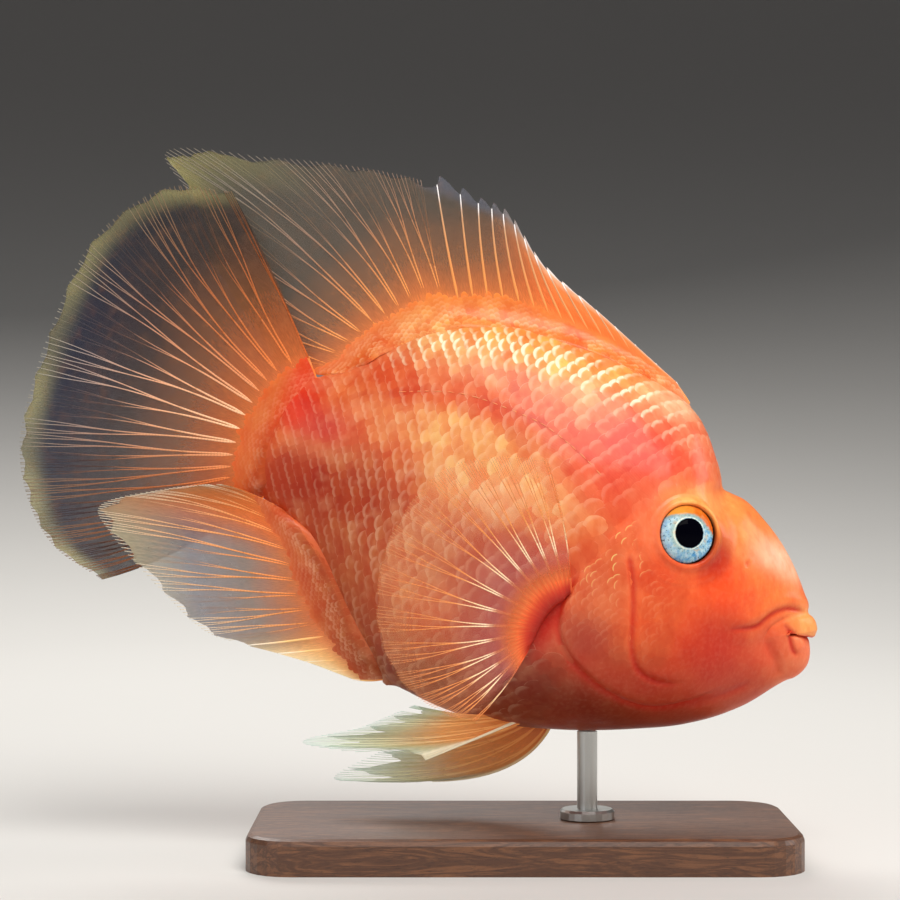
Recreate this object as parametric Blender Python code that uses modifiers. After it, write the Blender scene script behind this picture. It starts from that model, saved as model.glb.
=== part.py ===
"""A blood parrot cichlid at life size, nose down as it swims, held by a plain display stand.

The fish is modelled in its own frame, in millimetres: x runs from the tail joint to the lips, y to the fish's left
and z to its back. It is then turned nose down and lifted on to the stand, in metres, with +X the way that it faces
and +Z up. The origin is the middle of the underside of the stand.
"""

import math

import bmesh
import bpy
import numpy as np
from mathutils import Matrix, Vector
from mathutils.bvhtree import BVHTree

MM = 0.001
GAP = 0.3  # between neighbouring pieces

# Pose and stand, in millimetres and degrees
NOSE_DOWN = 19.5
TAIL_JOINT_HEIGHT = 106.0  # of the tail joint over the floor
TAIL_JOINT_BEHIND = 60.0  # of the tail joint behind the middle of the stand
BASE_LENGTH = 138.0
BASE_WIDTH = 70.0
BASE_THICKNESS = 9.0
BASE_CORNER = 12.0
BASE_BEVEL = 1.6
ROD_RADIUS = 2.6
ROD_UNDER = 97.0  # the rod meets the throat under this place on the fish
FLANGE_RADIUS = 7.0
FLANGE_THICKNESS = 2.4

# Outline of the body from the side, as rows of x and z
BACK = [(-5.2, -2.0), (-4.2, 3.2), (-2.4, 8.4), (-0.2, 13.0), (2.4, 17.2), (8, 21.8), (15, 31.0), (23, 38.8),
        (32, 44.0), (42, 47.2), (54, 48.4), (66, 48.2), (78, 46.9), (88, 44.8), (94, 42.6), (98.5, 39.6),
        (102, 35.6), (105.2, 30.8), (107.4, 27.3), (109.2, 25.6), (111, 25.3), (115, 24.9), (122, 21.5),
        (129, 16.7), (134.5, 11.4), (138, 7.3)]
BELLY = [(-5.2, -9.0), (-4.4, -12.0), (-2.8, -14.8), (-0.4, -16.6), (4, -17.4), (11, -20.9), (20, -29.0),
         (29, -37.6), (37, -44.3), (44, -49.2), (52, -50.8), (64, -51.6), (74, -50.6), (90, -46.8), (108, -40.2),
         (120, -34.6), (129, -28.4), (135, -22.6), (138, -18.6)]

# Half its width; how high it is widest; how full it is above and below; how far the cheeks lie behind the snout
HALF_WIDTH = [(-5.2, 1.3), (-3, 2.6), (0, 3.9), (8, 7.0), (20, 12.0), (35, 17.6), (50, 22.2), (65, 25.6),
              (80, 27.4), (92, 27.2), (103, 25.3), (113, 22.4), (123, 18.5), (132, 14.4), (138, 11.6)]
WIDEST = [(-5.2, 0.50), (50, 0.48), (80, 0.44), (100, 0.42), (120, 0.43), (138, 0.46)]
FULL_ABOVE = [(-5.2, 1.15), (60, 1.12), (88, 1.0), (104, 0.88), (125, 0.88), (138, 0.92)]
FULL_BELOW = [(-5.2, 1.15), (40, 1.05), (70, 0.92), (120, 0.88), (138, 0.92)]
CHEEKS_BACK = [(-5.2, 0), (100, 0), (115, 1.5), (127, 4.8), (138, 9.0)]

# Rings over the lips into the mouth: upper x and z, lower x and z, half width, how far the corners lie back
LIPS = [(139.6, 4.9, 140.4, -15.7, 10.7, 9.8),
        (140.4, 3.2, 142.6, -13.9, 9.9, 10.8),
        (141.9, 2.9, 144.0, -12.0, 9.8, 10.3),
        (143.7, 1.0, 144.8, -9.6, 9.2, 9.2),
        (144.6, -1.1, 144.7, -7.0, 8.5, 8.2),
        (144.2, -2.6, 143.8, -4.9, 7.6, 7.2),
        (143.1, -3.1, 142.9, -3.9, 6.8, 6.4),
        (140.0, -3.2, 139.9, -3.8, 5.8, 4.6)]

# Places on the side of the head, as x and z
NAPE_FOLD = [(109.4, 26.4), (104, 24.2), (99, 22.4), (94.5, 18.6), (91, 12.5)]
FOLD_STEP = 0.8
EYE = (101.7, 11.0)
EYE_OUT = 23.1  # of the skin there from the middle of the head
EYE_RADIUS = 7.9
EYE_DEPTH = 5.2  # half its size from side to side
EYE_SUNK = 2.0  # of its middle under the skin
EYE_FORWARD = 14.0  # degrees that each eye looks forward of sideways
EYE_UP = 10.0
ORBIT = (8.5, 14.0)  # the skin lies along the eye inside the first radius and keeps its own lie outside the second
ORBIT_SHARE = 0.85
ORBIT_RISE = 3.2  # the most that it is lifted for that
LID_RADIUS = 8.1
LID_THICKNESS = 0.9
CHEEK = (110.0, -12.0)
CHEEK_RADIUS = 13.0
CHEEK_SWELL = 1.0
LIP_FOLD = [(121.1, -7.3), (124.0, -6.0), (127.1, -4.3), (130.1, -0.5), (133.3, 1.3), (137.0, 2.3)]
LOWER_LIP_FOLD = [(136.4, -3.8), (137.4, -5.8), (139.6, -8.8)]
FOLD_RADIUS = 0.6
NOSTRIL = (119.5, 9.5)
NOSTRIL_RADIUS = 0.9

# Where the head ends: the crease behind the nape, then the edge of the gill cover, then across the throat
HEAD_EDGE = [(109.8, 26.0), (102.5, 23.6), (96.0, 19.6), (88.5, 11.5), (82.6, 1.5), (79.8, -8.0), (78.4, -14.5),
             (78.7, -18.0), (80.0, -21.7), (82.1, -24.6), (86.1, -27.8), (91.7, -30.5), (98.0, -33.2),
             (103.5, -36.4), (106.5, -40.8)]
HEAD_EDGE_TOP = (112.0, 60.0)
HEAD_EDGE_FOOT = (107.5, -60.0)
COVER_TOP = (83.2, 2.8)
COVER_LOW = (91.7, -30.5)
COVER_FRONT = [(88.8, 3.0), (91.4, -0.8), (93.3, -4.8), (96.2, -13.1), (98.2, -19.3), (102.1, -24.2),
               (105.8, -25.3), (110.3, -25.0), (114.0, -24.6), (114.6, -26.6), (109.9, -30.4), (104.3, -31.9),
               (98.0, -31.7)]
COVER_PROUD = 0.8
COVER_DEPTH = 2.6

RING_SIDES = 36
TAIL_CUT = 11.5

# Fins: the membrane, and the rays that stand out of it as ridges
MEMBRANE = 0.55
RAY_ROOT = 1.5
RAY_TIP = 0.75
RAY_HALF_WIDTH = 0.55
ROOT_SINK = 3.0  # how far a ray starts inside the body
ROWS = 5  # of points along a ray, past its root

# Rays that set the run of each middle fin: number, then x and z of root, middle and tip
DORSAL = [(0, 92.5, 43.9, 90.7, 45.4, 88.7, 47.2), (4, 75.6, 47.4, 69.3, 52.8, 63.2, 57.7),
          (7, 64.0, 48.5, 55.8, 55.6, 48.0, 63.2), (11, 47.9, 47.4, 39.1, 60.6, 32.6, 72.9),
          (13, 39.1, 45.9, 31.3, 60.5, 25.7, 73.4), (15, 32.0, 43.9, 23.0, 58.4, 14.1, 74.4),
          (17, 25.9, 40.4, 10.0, 59.2, -3.4, 72.6), (19, 21.0, 36.5, -1.4, 53.8, -27.6, 67.1),
          (21, 16.8, 32.3, -16.5, 47.5, -54.5, 58.1), (22, 14.7, 30.5, -12.2, 38.6, -44.0, 50.0),
          (23, 12.8, 28.4, -9.6, 31.4, -35.8, 38.1), (25, 9.3, 22.8, -2.9, 21.2, -15.0, 22.1)]
ANAL = [(0, 42.4, -49.9, 39.3, -51.3, 35.8, -52.2), (2, 35.5, -45.8, 29.4, -49.3, 22.9, -52.0),
        (4, 30.2, -41.5, 19.3, -47.5, 7.9, -52.9), (5, 27.8, -38.6, 13.7, -46.2, -1.2, -53.4),
        (7, 23.3, -33.6, 2.5, -40.9, -17.0, -47.2), (9, 18.9, -28.9, -7.8, -32.4, -35.0, -37.0),
        (10, 16.1, -26.3, -11.0, -27.8, -39.4, -32.7), (12, 9.3, -21.7, -8.4, -19.9, -25.5, -22.4),
        (13, 6.2, -19.4, -5.2, -17.4, -17.6, -18.4)]
CAUDAL = [(0, 1.2, 17.5, -16.0, 37.0, -34.5, 55.1), (2, -1.6, 11.9, -29.2, 29.4, -51.4, 49.6),
          (4, -3.6, 6.6, -35.4, 18.9, -63.9, 31.1), (6, -4.8, 1.4, -36.0, 4.6, -66.6, 5.4),
          (8, -5.2, -3.7, -35.4, -9.6, -66.0, -16.6), (11, -4.6, -10.2, -30.3, -24.8, -57.4, -37.6),
          (13, -3.4, -13.4, -24.5, -32.0, -47.5, -46.0), (15, -1.3, -15.8, -16.3, -35.4, -33.2, -49.8)]
DORSAL_SWAY = 5.0  # of the rear of the back fin to the left, where it passes the tail fin
ANAL_SWAY = -8.0  # of the rear of the anal fin to the right
CAUDAL_SWAY = 3.0  # of the tail fin's lower half to the left, and of its upper half to the right

# The same for the paired fins, with how far root, middle and tip stand off the side
PECTORAL = [(0, 77.0, -10.4, 71.9, 4.2, 62.7, 17.2), (2, 73.0, -12.2, 63.5, 1.7, 51.4, 13.8),
            (4, 70.0, -15.6, 54.1, -3.7, 39.3, 5.5), (6, 69.2, -20.2, 51.0, -16.1, 33.2, -13.4),
            (8, 69.6, -24.1, 53.4, -28.5, 36.8, -32.2), (10, 71.5, -27.1, 61.2, -37.0, 47.6, -46.0),
            (12, 73.5, -28.7, 70.4, -39.0, 65.3, -49.2), (13, 74.6, -28.9, 73.6, -37.6, 72.0, -44.2)]
PECTORAL_STAND = {-1: (1.2, 6.6, 11.0), 1: (1.2, 7.6, 13.4)}
PECTORAL_PAD = 3.6  # width of the fleshy pad that the rays spring from
PELVIC = {
    -1: [(0, 83.5, -43.4, 71.2, -54.2, 59.6, -63.7), (1, 82.6, -44.0, 67.0, -56.4, 32.7, -69.9),
         (3, 81.0, -45.4, 63.1, -54.6, 41.8, -62.2), (5, 79.2, -46.5, 66.0, -52.4, 55.0, -55.2)],
    1: [(0, 88.5, -44.0, 82.4, -60.0, 64.4, -71.4), (1, 87.4, -44.5, 76.0, -63.4, 42.1, -79.0),
        (3, 85.2, -45.4, 69.3, -60.2, 48.8, -68.7), (5, 83.2, -46.0, 70.2, -56.4, 57.6, -60.9)]}
PELVIC_FROM_MIDDLE = {-1: (6.6, 10.0, 13.5), 1: (6.4, 8.6, 10.5)}  # of root, middle and tip

# Colours, as red, green and blue
ORANGE_RED = (0.83, 0.19, 0.06)
ORANGE = (0.86, 0.33, 0.11)
FIN_AMBER = (0.80, 0.42, 0.18)
EYE_BLUE = (0.62, 0.78, 0.86)
WALNUT = (0.12, 0.065, 0.035)
STEEL = (0.62, 0.62, 0.60)

helpers = bpy.data.collections.new("helpers")
fish = bpy.data.collections.new("blood_parrot_cichlid")
fish_to_world = (Matrix.Translation((-TAIL_JOINT_BEHIND * MM, 0, TAIL_JOINT_HEIGHT * MM))
                 @ Matrix.Rotation(math.radians(NOSE_DOWN), 4, "Y"))


# Lines and surfaces

def curve(keys):
    """A smooth function of one number through rows of that number and one or more values."""
    table = np.array(keys, float)
    at, values = table[:, 0], table[:, 1:]
    slope = np.gradient(values, at, axis=0)
    chord = np.diff(values, axis=0) / np.diff(at)[:, None]
    for k in range(len(chord)):  # keeps a level stretch level, and a steep one from overshooting
        for row in (k, k + 1):
            limit = 3 * np.abs(chord[k])
            slope[row] = np.clip(slope[row], -limit, limit)

    def read(number):
        number = np.clip(np.asarray(number, float), at[0], at[-1])
        k = np.clip(np.searchsorted(at, number) - 1, 0, len(at) - 2)
        span = (at[k + 1] - at[k])[..., None]
        t = (number - at[k])[..., None] / span
        found = (values[k] * (1 + 2 * t) * (1 - t) ** 2 + slope[k] * span * t * (1 - t) ** 2
                 + values[k + 1] * t * t * (3 - 2 * t) + slope[k + 1] * span * t * t * (t - 1))
        return found[..., 0] if values.shape[1] == 1 else found

    return read


def path(points, count, crowd=1.0):
    """Points along a smooth line through the given ones; a crowd over 1 sets them closer at its start."""
    points = np.array(points, float)
    along = np.concatenate([[0], np.cumsum(np.linalg.norm(np.diff(points, axis=0), axis=1))])
    read = curve(np.column_stack([along / along[-1], points]))
    return read(np.linspace(0, 1, count) ** crowd)


back, belly, half_width, widest = curve(BACK), curve(BELLY), curve(HALF_WIDTH), curve(WIDEST)
full_above, full_below, cheeks_back = curve(FULL_ABOVE), curve(FULL_BELOW), curve(CHEEKS_BACK)


def ring(top, bottom, half, middle, above, below, behind):
    """Points round one station, from the back down the right side, along the belly and up the left side."""
    turn = np.linspace(0, 2 * math.pi, RING_SIDES, endpoint=False)
    up, side = np.cos(turn), -np.sin(turn)
    top, bottom = np.array(top, float), np.array(bottom, float)
    centre = bottom + middle * (top - bottom)
    reach = np.where(up[:, None] > 0, top - centre, centre - bottom)
    flat = centre + up[:, None] * reach
    across = half * np.sign(side) * np.abs(side) ** np.where(up > 0, above, below)
    return np.column_stack([flat[:, 0] - behind * side ** 2, across, flat[:, 1]])


def body_ring(x):
    return ring((x, back(x)), (x, belly(x)), half_width(x), widest(x), full_above(x), full_below(x), cheeks_back(x))


def body_rings(start, end, spacing):
    count = max(2, round((end - start) / spacing) + 1)
    return [body_ring(x) for x in np.linspace(start, end, count)]


def lip_rings(count):
    """Rings from the muzzle over the lips and into the mouth."""
    return [ring((ux, uz), (lx, lz), half, 0.47, 0.9, 0.9, corner)
            for ux, uz, lx, lz, half, corner in path(LIPS, count)]


def off_line(line, x, z):
    """How far points seen from the side lie from a line, positive above it, and what share along it they come."""
    points = np.array(line, float)
    start, step = points[:-1], np.diff(points, axis=0)
    flat = np.column_stack([x, z])
    share = np.clip(((flat[:, None] - start) * step).sum(-1) / (step ** 2).sum(-1), 0, 1)
    away = flat[:, None] - (start + share[..., None] * step)
    distance = np.linalg.norm(away, axis=-1)
    nearest = distance.argmin(axis=1)
    rows = np.arange(len(flat))
    turn = step[nearest, 0] * away[rows, nearest, 1] - step[nearest, 1] * away[rows, nearest, 0]
    along = (nearest + share[rows, nearest]) / len(step)
    return np.copysign(distance[rows, nearest], -turn), along


def bump(distance, width):
    return np.exp(-(distance / width) ** 2)


def relief(x, z):
    """How far the skin stands out from the plain loft: the bulge behind the nape's fold, and the cheek."""
    off, along = off_line(path(NAPE_FOLD, 24), x, z)
    above = 1 / (1 + np.exp(-off / 1.6)) * bump(np.maximum(off, 0), 9)
    fold = FOLD_STEP * np.clip(1 - along, 0, 1) * (above - 0.4 * bump(off, 2.2))
    return fold + CHEEK_SWELL * bump(np.hypot(x - CHEEK[0], z - CHEEK[1]), CHEEK_RADIUS)


def settled(points):
    """The points of a loft, with the skin round each eye turned to lie along it."""
    points = points.copy()
    x, y, z = points.T
    inner, outer = ORBIT
    near = np.clip((outer - np.hypot(x - EYE[0], z - EYE[1])) / (outer - inner), 0, 1)
    share = ORBIT_SHARE * near * near * (3 - 2 * near) * np.clip(np.abs(y) / EYE_OUT * 3 - 1, 0, 1)
    plane = (EYE_OUT - math.tan(math.radians(EYE_FORWARD)) * (x - EYE[0])
             - math.tan(math.radians(EYE_UP)) * (z - EYE[1]))
    points[:, 1] = np.sign(y) * (np.abs(y) + share * np.minimum(plane - np.abs(y), ORBIT_RISE))
    return points


# Mesh tools

def mesh_object(name, points, faces):
    """A closed mesh object from points in millimetres, with its faces pointing out."""
    mesh = bpy.data.meshes.new(name)
    shape = bmesh.new()
    corners = [shape.verts.new(Vector(point) * MM) for point in points]
    for face in faces:
        shape.faces.new([corners[k] for k in face])
    bmesh.ops.recalc_face_normals(shape, faces=shape.faces[:])
    if shape.calc_volume(signed=True) < 0:
        bmesh.ops.reverse_faces(shape, faces=shape.faces[:])
    shape.to_mesh(mesh)
    shape.free()
    made = bpy.data.objects.new(name, mesh)
    helpers.objects.link(made)
    return made


def loft(name, rings, grow=0.0):
    """A closed solid through rings of points, with the body's relief, pushed out by grow along its surface."""
    grid = np.array(rings)
    rows, sides = grid.shape[:2]
    grid = settled(grid.reshape(-1, 3)).reshape(grid.shape)
    ahead = np.gradient(grid, axis=0)
    around = np.roll(grid, -1, axis=1) - np.roll(grid, 1, axis=1)
    normal = np.cross(around, ahead).reshape(-1, 3)
    normal /= np.maximum(np.linalg.norm(normal, axis=1), 1e-9)[:, None]
    points = grid.reshape(-1, 3)
    outward = np.sign((normal * (points - grid.mean(axis=1).repeat(sides, axis=0))).sum())
    points = points + normal * outward * (relief(points[:, 0], points[:, 2]) + grow)[:, None]
    points[:sides, 0] -= grow
    faces = []
    for row in range(rows - 1):
        for k in range(sides):
            a, b = row * sides + k, row * sides + (k + 1) % sides
            faces.append((a, b, b + sides, a + sides))
    faces.append(tuple(range(sides)))
    faces.append(tuple((rows - 1) * sides + k for k in range(sides)))
    return mesh_object(name, points, faces)


class Skin:
    """The surface of a finished loft, for placing things on it."""

    def __init__(self, made):
        corners = [vertex.co / MM for vertex in made.data.vertices]
        self.tree = BVHTree.FromPolygons(corners, [face.vertices for face in made.data.polygons])

    def out(self, x, z, side=1):
        """How far the skin lies from the middle of the fish at one place seen from the side."""
        hit = self.tree.ray_cast(Vector((x, side * 80, z)), Vector((0, -side, 0)))[0]
        return abs(hit.y) if hit else 0.0


def adopt(name):
    """The object that was just added, with its transform applied, moved among the helpers."""
    made = bpy.context.object
    bpy.ops.object.transform_apply(location=True, rotation=True, scale=True)
    for collection in list(made.users_collection):
        collection.objects.unlink(made)
    helpers.objects.link(made)
    made.name = name
    return made


def prism(name, outline, near, far):
    """An outline seen from the side, extruded from y = near to y = far."""
    shape = bmesh.new()
    face = shape.faces.new([shape.verts.new(Vector((x, near, z)) * MM) for x, z in outline])
    extruded = bmesh.ops.extrude_face_region(shape, geom=[face])["geom"]
    moved = [item for item in extruded if isinstance(item, bmesh.types.BMVert)]
    bmesh.ops.translate(shape, verts=moved, vec=(0, (far - near) * MM, 0))
    bmesh.ops.recalc_face_normals(shape, faces=shape.faces[:])
    mesh = bpy.data.meshes.new(name)
    shape.to_mesh(mesh)
    shape.free()
    made = bpy.data.objects.new(name, mesh)
    helpers.objects.link(made)
    return made


def tube(name, points, radius):
    """A round rod with flat ends along a line of points."""
    line = bpy.data.curves.new(name, "CURVE")
    line.dimensions = "3D"
    line.bevel_depth = radius * MM
    line.bevel_resolution = 1
    line.use_fill_caps = True
    spline = line.splines.new("POLY")
    spline.points.add(len(points) - 1)
    for spot, point in zip(spline.points, points):
        spot.co = (*(Vector(point) * MM), 1)
    wire = bpy.data.objects.new(name, line)
    helpers.objects.link(wire)
    made = applied(wire)
    shape = bmesh.new()
    shape.from_mesh(made.data)
    bmesh.ops.remove_doubles(shape, verts=shape.verts[:], dist=0.00001)
    bmesh.ops.recalc_face_normals(shape, faces=shape.faces[:])
    shape.to_mesh(made.data)
    shape.free()
    return made


def widened(outline, by):
    """A closed outline moved out by a distance."""
    outline = np.array(outline, float)
    step = np.roll(outline, -1, axis=0) - outline
    step /= np.linalg.norm(step, axis=1)[:, None]
    ahead = np.roll(step, -1, axis=0)
    turned = (step[:, 0] * ahead[:, 1] - step[:, 1] * ahead[:, 0]).sum()
    normal = np.column_stack([step[:, 1], -step[:, 0]]) * np.sign(turned)
    corner = normal + np.roll(normal, 1, axis=0)
    return outline + by * corner * 2 / np.maximum((corner ** 2).sum(axis=1), 0.5)[:, None]


def applied(made):
    """The object as a mesh, with its modifiers made part of it."""
    graph = bpy.context.evaluated_depsgraph_get()
    mesh = bpy.data.meshes.new_from_object(made.evaluated_get(graph))
    if made.type == "MESH":
        made.modifiers.clear()
        made.data = mesh
        return made
    solid = bpy.data.objects.new(made.name, mesh)
    helpers.objects.link(solid)
    bpy.data.objects.remove(made)
    return solid


def combine(made, other, operation, solver="EXACT"):
    """Cuts, keeps or joins by one closed mesh, and keeps the largest closed surface of what is left."""
    modifier = made.modifiers.new("combine", "BOOLEAN")
    modifier.operation = operation
    modifier.solver = solver
    modifier.object = other
    applied(made)
    shape = bmesh.new()
    shape.from_mesh(made.data)
    todo, pieces = set(shape.verts), []
    while todo:
        piece, front = set(), [todo.pop()]
        while front:
            vertex = front.pop()
            piece.add(vertex)
            near = {edge.other_vert(vertex) for edge in vertex.link_edges} & todo
            todo -= near
            front += near
        pieces.append(piece)
    size = [np.ptp([vertex.co[:] for vertex in piece], axis=0).sum() for piece in pieces]
    keep = pieces[int(np.argmax(size))]
    bmesh.ops.delete(shape, geom=[vertex for vertex in shape.verts if vertex not in keep], context="VERTS")
    shape.to_mesh(made.data)
    shape.free()
    return made


def copy_of(made, name):
    twin = made.copy()
    twin.data = made.data.copy()
    twin.name = name
    helpers.objects.link(twin)
    return twin


def finish(made, name, colour, roughness, metallic=0.0):
    """Names a piece, gives it its own material, and moves it from the helpers into the model."""
    helpers.objects.unlink(made)
    fish.objects.link(made)
    made.name = name
    made.data.name = name
    material = bpy.data.materials.new(f"{name}_finish")
    material.use_nodes = True
    shader = material.node_tree.nodes["Principled BSDF"]
    shader.inputs["Base Color"].default_value = (*colour, 1)
    shader.inputs["Roughness"].default_value = roughness
    shader.inputs["Metallic"].default_value = metallic
    made.data.materials.clear()
    made.data.materials.append(material)


# Head and body

def eye_matrix(side):
    """Places an upright eye, its depth along y, at one side of the head."""
    place = Matrix.Translation(Vector((EYE[0], side * (EYE_OUT - EYE_SUNK), EYE[1])) * MM)
    return (place @ Matrix.Rotation(math.radians(-side * EYE_FORWARD), 4, "Z")
            @ Matrix.Rotation(math.radians(side * EYE_UP), 4, "X"))


def eyeball(side, grow=0.0):
    """A flattened ball, its poles facing out and in."""
    bpy.ops.mesh.primitive_uv_sphere_add(segments=20, ring_count=12, radius=1)
    ball = bpy.context.object
    radius = (EYE_RADIUS + grow) * MM
    ball.matrix_world = (eye_matrix(side) @ Matrix.Rotation(math.pi / 2, 4, "X")
                         @ Matrix.Diagonal((radius, radius, (EYE_DEPTH + grow) * MM, 1)))
    return adopt("eyeball")


def lid(side):
    """The raised rim of skin round one eye, half sunk in the head."""
    bpy.ops.mesh.primitive_torus_add(major_radius=LID_RADIUS * MM, minor_radius=LID_THICKNESS * MM,
                                     major_segments=24, minor_segments=6)
    bpy.context.object.matrix_world = (eye_matrix(side) @ Matrix.Translation((0, side * EYE_SUNK * MM, 0))
                                       @ Matrix.Rotation(math.pi / 2, 4, "X"))
    return adopt("lid")


def carve_face(head, skin, side):
    """Adds one lid, and cuts one eye socket, one nostril and one side of the folds round the lips."""
    combine(head, lid(side), "UNION", "MANIFOLD")
    combine(head, eyeball(side, GAP), "DIFFERENCE")
    place = Vector((NOSTRIL[0], side * skin.out(*NOSTRIL), NOSTRIL[1])) * MM
    bpy.ops.mesh.primitive_uv_sphere_add(segments=8, ring_count=6, radius=NOSTRIL_RADIUS * MM, location=place)
    combine(head, adopt("nostril"), "DIFFERENCE")
    for line, count in ((LIP_FOLD, 8), (LOWER_LIP_FOLD, 4)):
        fold = [(x, side * (skin.out(x, z) + 0.15), z) for x, z in path(line, count)]
        combine(head, tube("fold", fold, FOLD_RADIUS), "DIFFERENCE")


def build_body():
    """The tail base, the trunk, the head and the two gill covers, parted by thin cuts."""
    tail_base = loft("tail_base", body_rings(-5.2, 1.4, 1.65) + body_rings(4.6, TAIL_CUT - GAP, 3.3))
    rear = body_rings(TAIL_CUT, 76.5, 5.9)
    trunk = loft("trunk", rear + body_rings(80, 138, 2.9) + lip_rings(12))
    skin = Skin(trunk)
    head = copy_of(trunk, "head")

    edge = path(HEAD_EDGE, 30)
    ahead = [(160.0, -60.0), (160.0, 60.0)]
    head_outline = [HEAD_EDGE_TOP, *edge, HEAD_EDGE_FOOT, *ahead]
    combine(head, prism("head_side", head_outline, -50, 50), "INTERSECT")
    combine(trunk, prism("trunk_side", widened(head_outline, GAP), -50, 50), "DIFFERENCE")

    proud = loft("proud", body_rings(70, 124, 4), COVER_PROUD)
    under_cover = loft("under_cover", body_rings(60, 130, 5), -COVER_DEPTH)
    under_pocket = loft("under_pocket", body_rings(60, 130, 5), -COVER_DEPTH - GAP)
    top = np.abs(edge - COVER_TOP).sum(axis=1).argmin()
    low = np.abs(edge - COVER_LOW).sum(axis=1).argmin()
    front = path([edge[top], *COVER_FRONT, edge[low]], 28)[1:-1]
    outline = [*front, *edge[top:low + 1][::-1]]
    for side, side_name in ((-1, "right"), (1, "left")):
        cover = combine(prism("cover", outline, side * 5, side * 50), proud, "INTERSECT")
        combine(cover, under_cover, "DIFFERENCE")
        finish(cover, f"gill_cover_{side_name}", ORANGE_RED, 0.42)
        pocket = combine(prism("pocket", widened(outline, GAP), side * 5, side * 50), under_pocket, "DIFFERENCE")
        combine(head, pocket, "DIFFERENCE")
        carve_face(head, skin, side)
        finish(eyeball(side), f"eye_{side_name}", EYE_BLUE, 0.15)
    finish(tail_base, "tail_base", ORANGE_RED, 0.45)
    finish(trunk, "trunk", ORANGE, 0.45)
    finish(head, "head", ORANGE_RED, 0.42)
    return skin


# Fins

def ray_line(root, middle, tip, sink):
    """Points along one ray, from a short way inside the body to its tip."""
    root, middle, tip = np.array(root, float), np.array(middle, float), np.array(tip, float)
    start = root - sink * (middle - root) / np.linalg.norm(middle - root)
    t = np.concatenate([[0.0], np.linspace(0, 1, ROWS + 1)[1:] ** 1.25])[:, None]
    bow = middle - (root + tip) / 2
    line = root + (tip - root) * t + 4 * bow * t * (1 - t)
    return np.concatenate([[start], line])


def side_rays(keys, sideways, sink=ROOT_SINK):
    """The rays of a fin from its key rays; sideways gives y for one ray's number at its root, middle and tip."""
    numbers = np.arange(keys[0][0], keys[-1][0] + 1)
    rays = []
    for number, (rx, rz, mx, mz, tx, tz) in zip(numbers, curve(keys)(numbers)):
        root_y, middle_y, tip_y = sideways(number / numbers[-1], rx, rz)
        rays.append(ray_line((rx, root_y, rz), (mx, middle_y, mz), (tx, tip_y, tz), sink))
    return rays


def fin(name, rays, flesh, flesh_reach, notch, ray_root=RAY_ROOT, ray_tip=RAY_TIP):
    """A closed fin, its rays raised as ridges in a thin membrane.

    flesh is the extra thickness at the root of the first and of the last ray, and flesh_reach how fast it fades
    along a ray. notch is how far the membrane's edge lies behind the tips of the rays.
    """
    rays = np.array(rays, float)
    count, rows = rays.shape[:2]
    run = np.linalg.norm(np.diff(rays, axis=1), axis=2)
    along = np.concatenate([np.zeros((count, 1)), np.cumsum(run, axis=1)], axis=1)
    columns, thick = [], []

    def foot(ray, other):
        spacing = np.linalg.norm(rays[other] - rays[ray], axis=1)
        part = np.minimum(RAY_HALF_WIDTH / np.maximum(spacing, 1e-6), 0.3)[:, None]
        line = rays[ray] + part * (rays[other] - rays[ray])
        line[-1] += notch * (rays[ray, -2] - rays[ray, -1]) / max(run[ray, -1], 1e-6)
        return line

    for ray, fleshy in enumerate(np.linspace(*flesh, count)):
        padding = fleshy * bump(along[ray], flesh_reach)
        ridge = ray_root + (ray_tip - ray_root) * np.linspace(0, 1, rows) + padding
        if ray > 0:
            columns.append(foot(ray, ray - 1))
            thick.append(MEMBRANE + padding)
        columns.append(rays[ray])
        thick.append(ridge)
        if ray < count - 1:
            columns.append(foot(ray, ray + 1))
            thick.append(MEMBRANE + padding)
    return sheet(name, np.array(columns), np.array(thick))


def sheet(name, grid, thick):
    """A closed sheet round a grid of points, split into the same triangles on both of its faces."""
    width, height = grid.shape[:2]
    normal = np.cross(np.gradient(grid, axis=0), np.gradient(grid, axis=1))
    for _ in range(2):  # evens out the lie of neighbouring columns
        normal[1:-1] = (normal[:-2] + normal[1:-1] + normal[2:]) / 3
    normal /= np.maximum(np.linalg.norm(normal, axis=2, keepdims=True), 1e-9)
    half = normal * thick[..., None] / 2
    points = np.concatenate([(grid + half).reshape(-1, 3), (grid - half).reshape(-1, 3)])
    other_side = width * height
    faces = []
    for column in range(width - 1):
        for row in range(height - 1):
            a, b = column * height + row, (column + 1) * height + row
            for face in ((a, b, b + 1), (a, b + 1, a + 1)):
                faces.append(face)
                faces.append(tuple(k + other_side for k in reversed(face)))
    rim = [column * height for column in range(width)]
    rim += [(width - 1) * height + row for row in range(1, height)]
    rim += [column * height + height - 1 for column in range(width - 2, -1, -1)]
    rim += list(range(height - 2, 0, -1))
    for a, b in zip(rim, rim[1:] + rim[:1]):
        faces.append((a, b, b + other_side))
        faces.append((a, b + other_side, a + other_side))
    return mesh_object(name, points, faces)


def rear_sway(reach, begin):
    """Sideways places of a ray that swings out to the side the further back it stands in its fin."""
    def sideways(share, x, z):
        sway = reach * (max(0.0, share - begin) / (1 - begin)) ** 1.2
        return 0.1 * sway, 0.65 * sway, sway
    return sideways


def caudal_sway(share, x, z):
    sway = -CAUDAL_SWAY * math.sin(2.4 * (1 - 2 * share))
    return 0, 0.6 * sway, sway


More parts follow.
